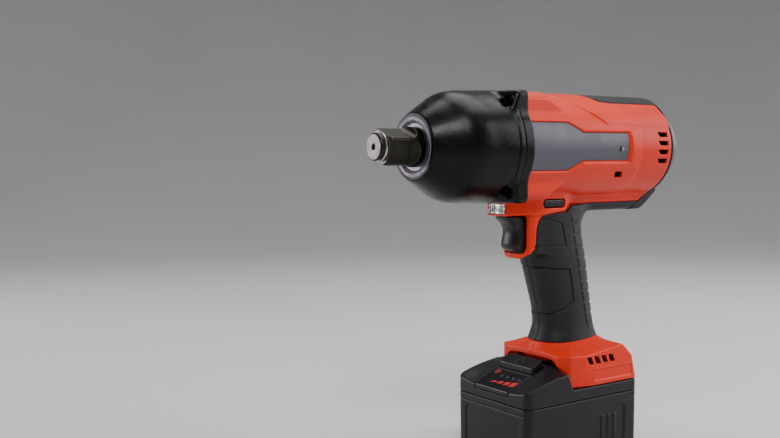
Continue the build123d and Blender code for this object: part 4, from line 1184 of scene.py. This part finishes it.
def gauge_bars(x, y, z):
    """Four rising bars printed below the charge lamps."""
    bars = []
    for i, y0 in enumerate(GAUGE_DOT_Y):
        down, across, out = on_slope(x, y, z, GAUGE_BAR_X, y0)
        outline = rect(down + 0.35 * across, across, 1.1 - 1.15 * (i + 1), 1.6, -2.1, 2.1, 0.1)
        bars.append(np.maximum(outline, slab(out, -0.3, 0.1)))
    return least(*bars)


def release(x, y, z):
    """Release button with a crowned top, a ring mark and the latch arm behind it."""
    a = np.abs(y)
    top = np.minimum(72.6, 68.0 + (30.9 - x) * 0.53)
    cap = rect(x, a, 20.9, 30.9, -17.2, 17.2, 1.6)
    cap = smax(cap, (z - top) * 0.88, 0.5)
    cap = np.maximum(cap, 64 - z)
    ring = np.abs(np.hypot((x - 26.6) * 1.1, y) - 3.2) - 0.35
    cap = smax(cap, -np.maximum(ring, top - 0.5 - z), 0.3)
    arm = brick(x, a, z, (-4.6, -6, 61), (30, 6, 64.2), 0.4)
    hook = brick(x, a, z, (-4.6, -6, 61), (2.8, 6, 67.6), 0.4)
    hook = smax(hook, (z - 67.6) * 0.66 + (x + 1.5) * 0.75, 0.5)
    return least(cap, arm, hook)


# ---- Build the pieces ----------------------------------------------------------------------
STEP = 0.8
GRIP_STEP = 0.62
FINE = 0.5

HOUSING_SPAN = ((-92, -1.2, 52), (51, 40, 261))
GRIP_SPAN = ((-93, -1.2, 83), (42, 23, 183))
INLAY_SPAN = ((-47, 24, 202), (50, 38, 240))
SIDE_FINISH = {"housing": "housing_plastic", "grip": "grip_rubber", "inlay": "inlay_plastic"}
for label, mirrored in (("left", False), ("right", True)):
    sides = (
        ("housing_shell", "housing", housing(mirrored), HOUSING_SPAN, STEP, housing_hollow),
        ("grip_cover", "grip", grip(mirrored), GRIP_SPAN, GRIP_STEP, grip_hollow),
        ("flank_plate", "inlay", inlay, INLAY_SPAN, FINE, None),
    )
    for name, part, field, span, step, hollow in sides:
        piece = field_piece(f"{name}_{label}", field, *span, step, mirrored, hollow)
        dress(piece, SIDE_FINISH[part], "root", f"{part}_{label}")

PIECES = (
    ("rear_pad_and_rim", bumper, (-100, -40, 172), (-12, 40, 262), STEP, "grip_rubber", "root",
     ("rear_bumper",)),
    ("end_cap", rear_cap, (-105, -33, 188), (-82, 33, 254), STEP, "cap_plastic", "root",
     ("rear_cap",)),
    ("case_boot", boot, (46, -40, 181), (122, 40, 261), 0.8, "boot_rubber", "root", ("nose_boot",)),
    ("trigger_blade", trigger, (15, -11, 145), (50, 11, 176), FINE, "button_plastic", "trigger",
     ("trigger",)),
    ("lever_bar", lever, (-1, -19, 177), (23, 19, 187), FINE, "button_plastic", "direction_lever",
     ("direction_lever",)),
    ("lamp_window", lens, (46, -10, 173), (51, 10, 184), 0.4, "lens_plastic", "root",
     ("led_lens",)),
    ("lamp_reflector", reflector, (44.5, -10, 174), (48.5, 10, 184), 0.4, "reflector", "root", ()),
    ("lamp_chips", lamps, (44.5, -6, 176), (48, 6, 181), 0.25, "lamp_phosphor", "root", ()),
    ("pack_tub", pack_lower, (-57, -40, -2), (57, 40, 48), STEP, "pack_plastic", "battery",
     ("pack_case_lower",)),
    ("pack_top", pack_upper, (-57, -40, 44), (57, 40, 73), STEP * 0.8, "pack_plastic", "battery",
     ("pack_case_upper",)),
    ("gauge_plate", gauge_panel, (31, -20, 49), (56, 20, 66), FINE, "gauge_film", "battery",
     ("gauge_panel",)),
    ("gauge_key_cap", gauge_key, (32, -17, 57), (42, -6, 66), 0.4, "button_plastic", "gauge_key",
     ("gauge_button",)),
    ("gauge_key_mark", key_mark, (32, -17, 57), (42, -6, 66), 0.18, "mark_red", "gauge_key", ()),
    ("gauge_lamps", gauge_dots, (37, -7, 56), (43, 17, 64), 0.2, "mark_grey", "battery", ()),
    ("gauge_bars", gauge_bars, (39, -8, 53), (52, 18, 63), 0.2, "mark_red", "battery", ()),
    ("release_key", release, (-7, -18, 59), (36, 18, 75), FINE, "button_plastic", "release",
     ("release_button",)),
)
SLOTS = {
    "reflector": "lens_plastic", "lamp_phosphor": "lens_plastic", "mark_red": "gauge_film",
    "mark_grey": "gauge_film",
}
HOLLOWS = {"end_cap": cap_hollow}
for name, field, low, high, step, finish, body, replaced in PIECES:
    piece = field_piece(name, field, low, high, step, hollow=HOLLOWS.get(name))
    dress(piece, finish, body, *replaced, slot=SLOTS.get(finish))


# ---- Floor, lights and camera --------------------------------------------------------------
def make_floor():
    """Pale floor that curves up all round into a backdrop."""
    flat, bend, height, around = 1.5, 1.3, 4.0, 72
    profile = [(0.02, 0.0), (0.5, 0.0), (flat, 0.0)]
    for i in range(1, 13):
        t = radians(90 * i / 12)
        profile.append((flat + bend * sin(t), bend - bend * cos(t)))
    profile.append((flat + bend, height))
    verts, faces = [], []
    for r, up in profile:
        for k in range(around):
            t = 2 * pi * k / around
            verts.append((r * cos(t), r * sin(t), up))
    for i in range(len(profile) - 1):
        for k in range(around):
            a, b = i * around + k, i * around + (k + 1) % around
            faces.append((a, a + around, b + around, b))
    faces.append(tuple(range(around)))
    mesh = bpy.data.meshes.new("studio_floor")
    mesh.from_pydata(verts, [], faces)
    mesh.shade_smooth()
    floor = bpy.data.objects.new("studio_floor", mesh)
    bpy.context.scene.collection.objects.link(floor)
    paint = Paint("studio_paper", (0.62, 0.62, 0.63), 0.7)
    paint.tint(paint.noise(3, 2), (0.61, 0.61, 0.62), (0.63, 0.63, 0.64))
    paint.bump(paint.noise(400, 2), 0.05)
    mesh.materials.append(paint.material)


def area_light(name, at, target, size, power, colour=(1, 1, 1)):
    """A soft rectangular light aimed at a point, in metres."""
    data = bpy.data.lights.new(name, "AREA")
    data.shape = "RECTANGLE"
    data.size, data.size_y = size
    data.energy = power
    data.color = colour
    obj = bpy.data.objects.new(name, data)
    bpy.context.scene.collection.objects.link(obj)
    obj.location = at
    aim = Vector(target) - Vector(at)
    obj.rotation_euler = aim.to_track_quat("-Z", "Y").to_euler()


def make_camera():
    """Camera at the photograph's viewing angle."""
    place = Vector((476.91, 495.82, 213.18)) * MM
    yaw, pitch, roll = radians(235.62), radians(-3.602), radians(-0.327)
    forward = Vector((cos(yaw) * cos(pitch), sin(yaw) * cos(pitch), sin(pitch)))
    right = forward.cross(Vector((0, 0, 1))).normalized()
    up = right.cross(forward)
    right_rolled = right * cos(roll) + up * sin(roll)
    up_rolled = up * cos(roll) - right * sin(roll)
    data = bpy.data.cameras.new("photo_camera")
    data.sensor_width = 36.0
    data.lens = 43.73
    data.clip_start = 0.01
    camera = bpy.data.objects.new("photo_camera", data)
    bpy.context.scene.collection.objects.link(camera)
    turn = Matrix((right_rolled, up_rolled, -forward)).transposed()
    camera.matrix_world = Matrix.Translation(place) @ turn.to_4x4()
    bpy.context.scene.camera = camera


make_floor()
AIM = (0.0, 0.0, 0.16)
area_light("key_softbox", (0.55, 0.85, 1.15), AIM, (0.55, 0.4), 12, (1.0, 0.97, 0.95))
area_light("top_softbox", (-0.35, -0.15, 1.4), AIM, (1.3, 1.0), 18, (1.0, 0.97, 0.94))
area_light("side_softbox", (-1.05, 0.85, 0.72), AIM, (0.5, 0.9), 9, (0.96, 0.93, 1.0))
area_light("rim_light", (-1.3, 0.15, 0.6), AIM, (0.4, 0.9), 5, (0.93, 0.94, 1.0))
area_light("front_softbox", (0.95, -1.1, 0.5), AIM, (0.6, 0.9), 10, (0.97, 0.93, 1.0))
world = bpy.data.worlds.new("studio")
world.use_nodes = True
world.node_tree.nodes["Background"].inputs["Color"].default_value = (0.80, 0.83, 0.88, 1)
world.node_tree.nodes["Background"].inputs["Strength"].default_value = 0.07
bpy.context.scene.world = world
make_camera()
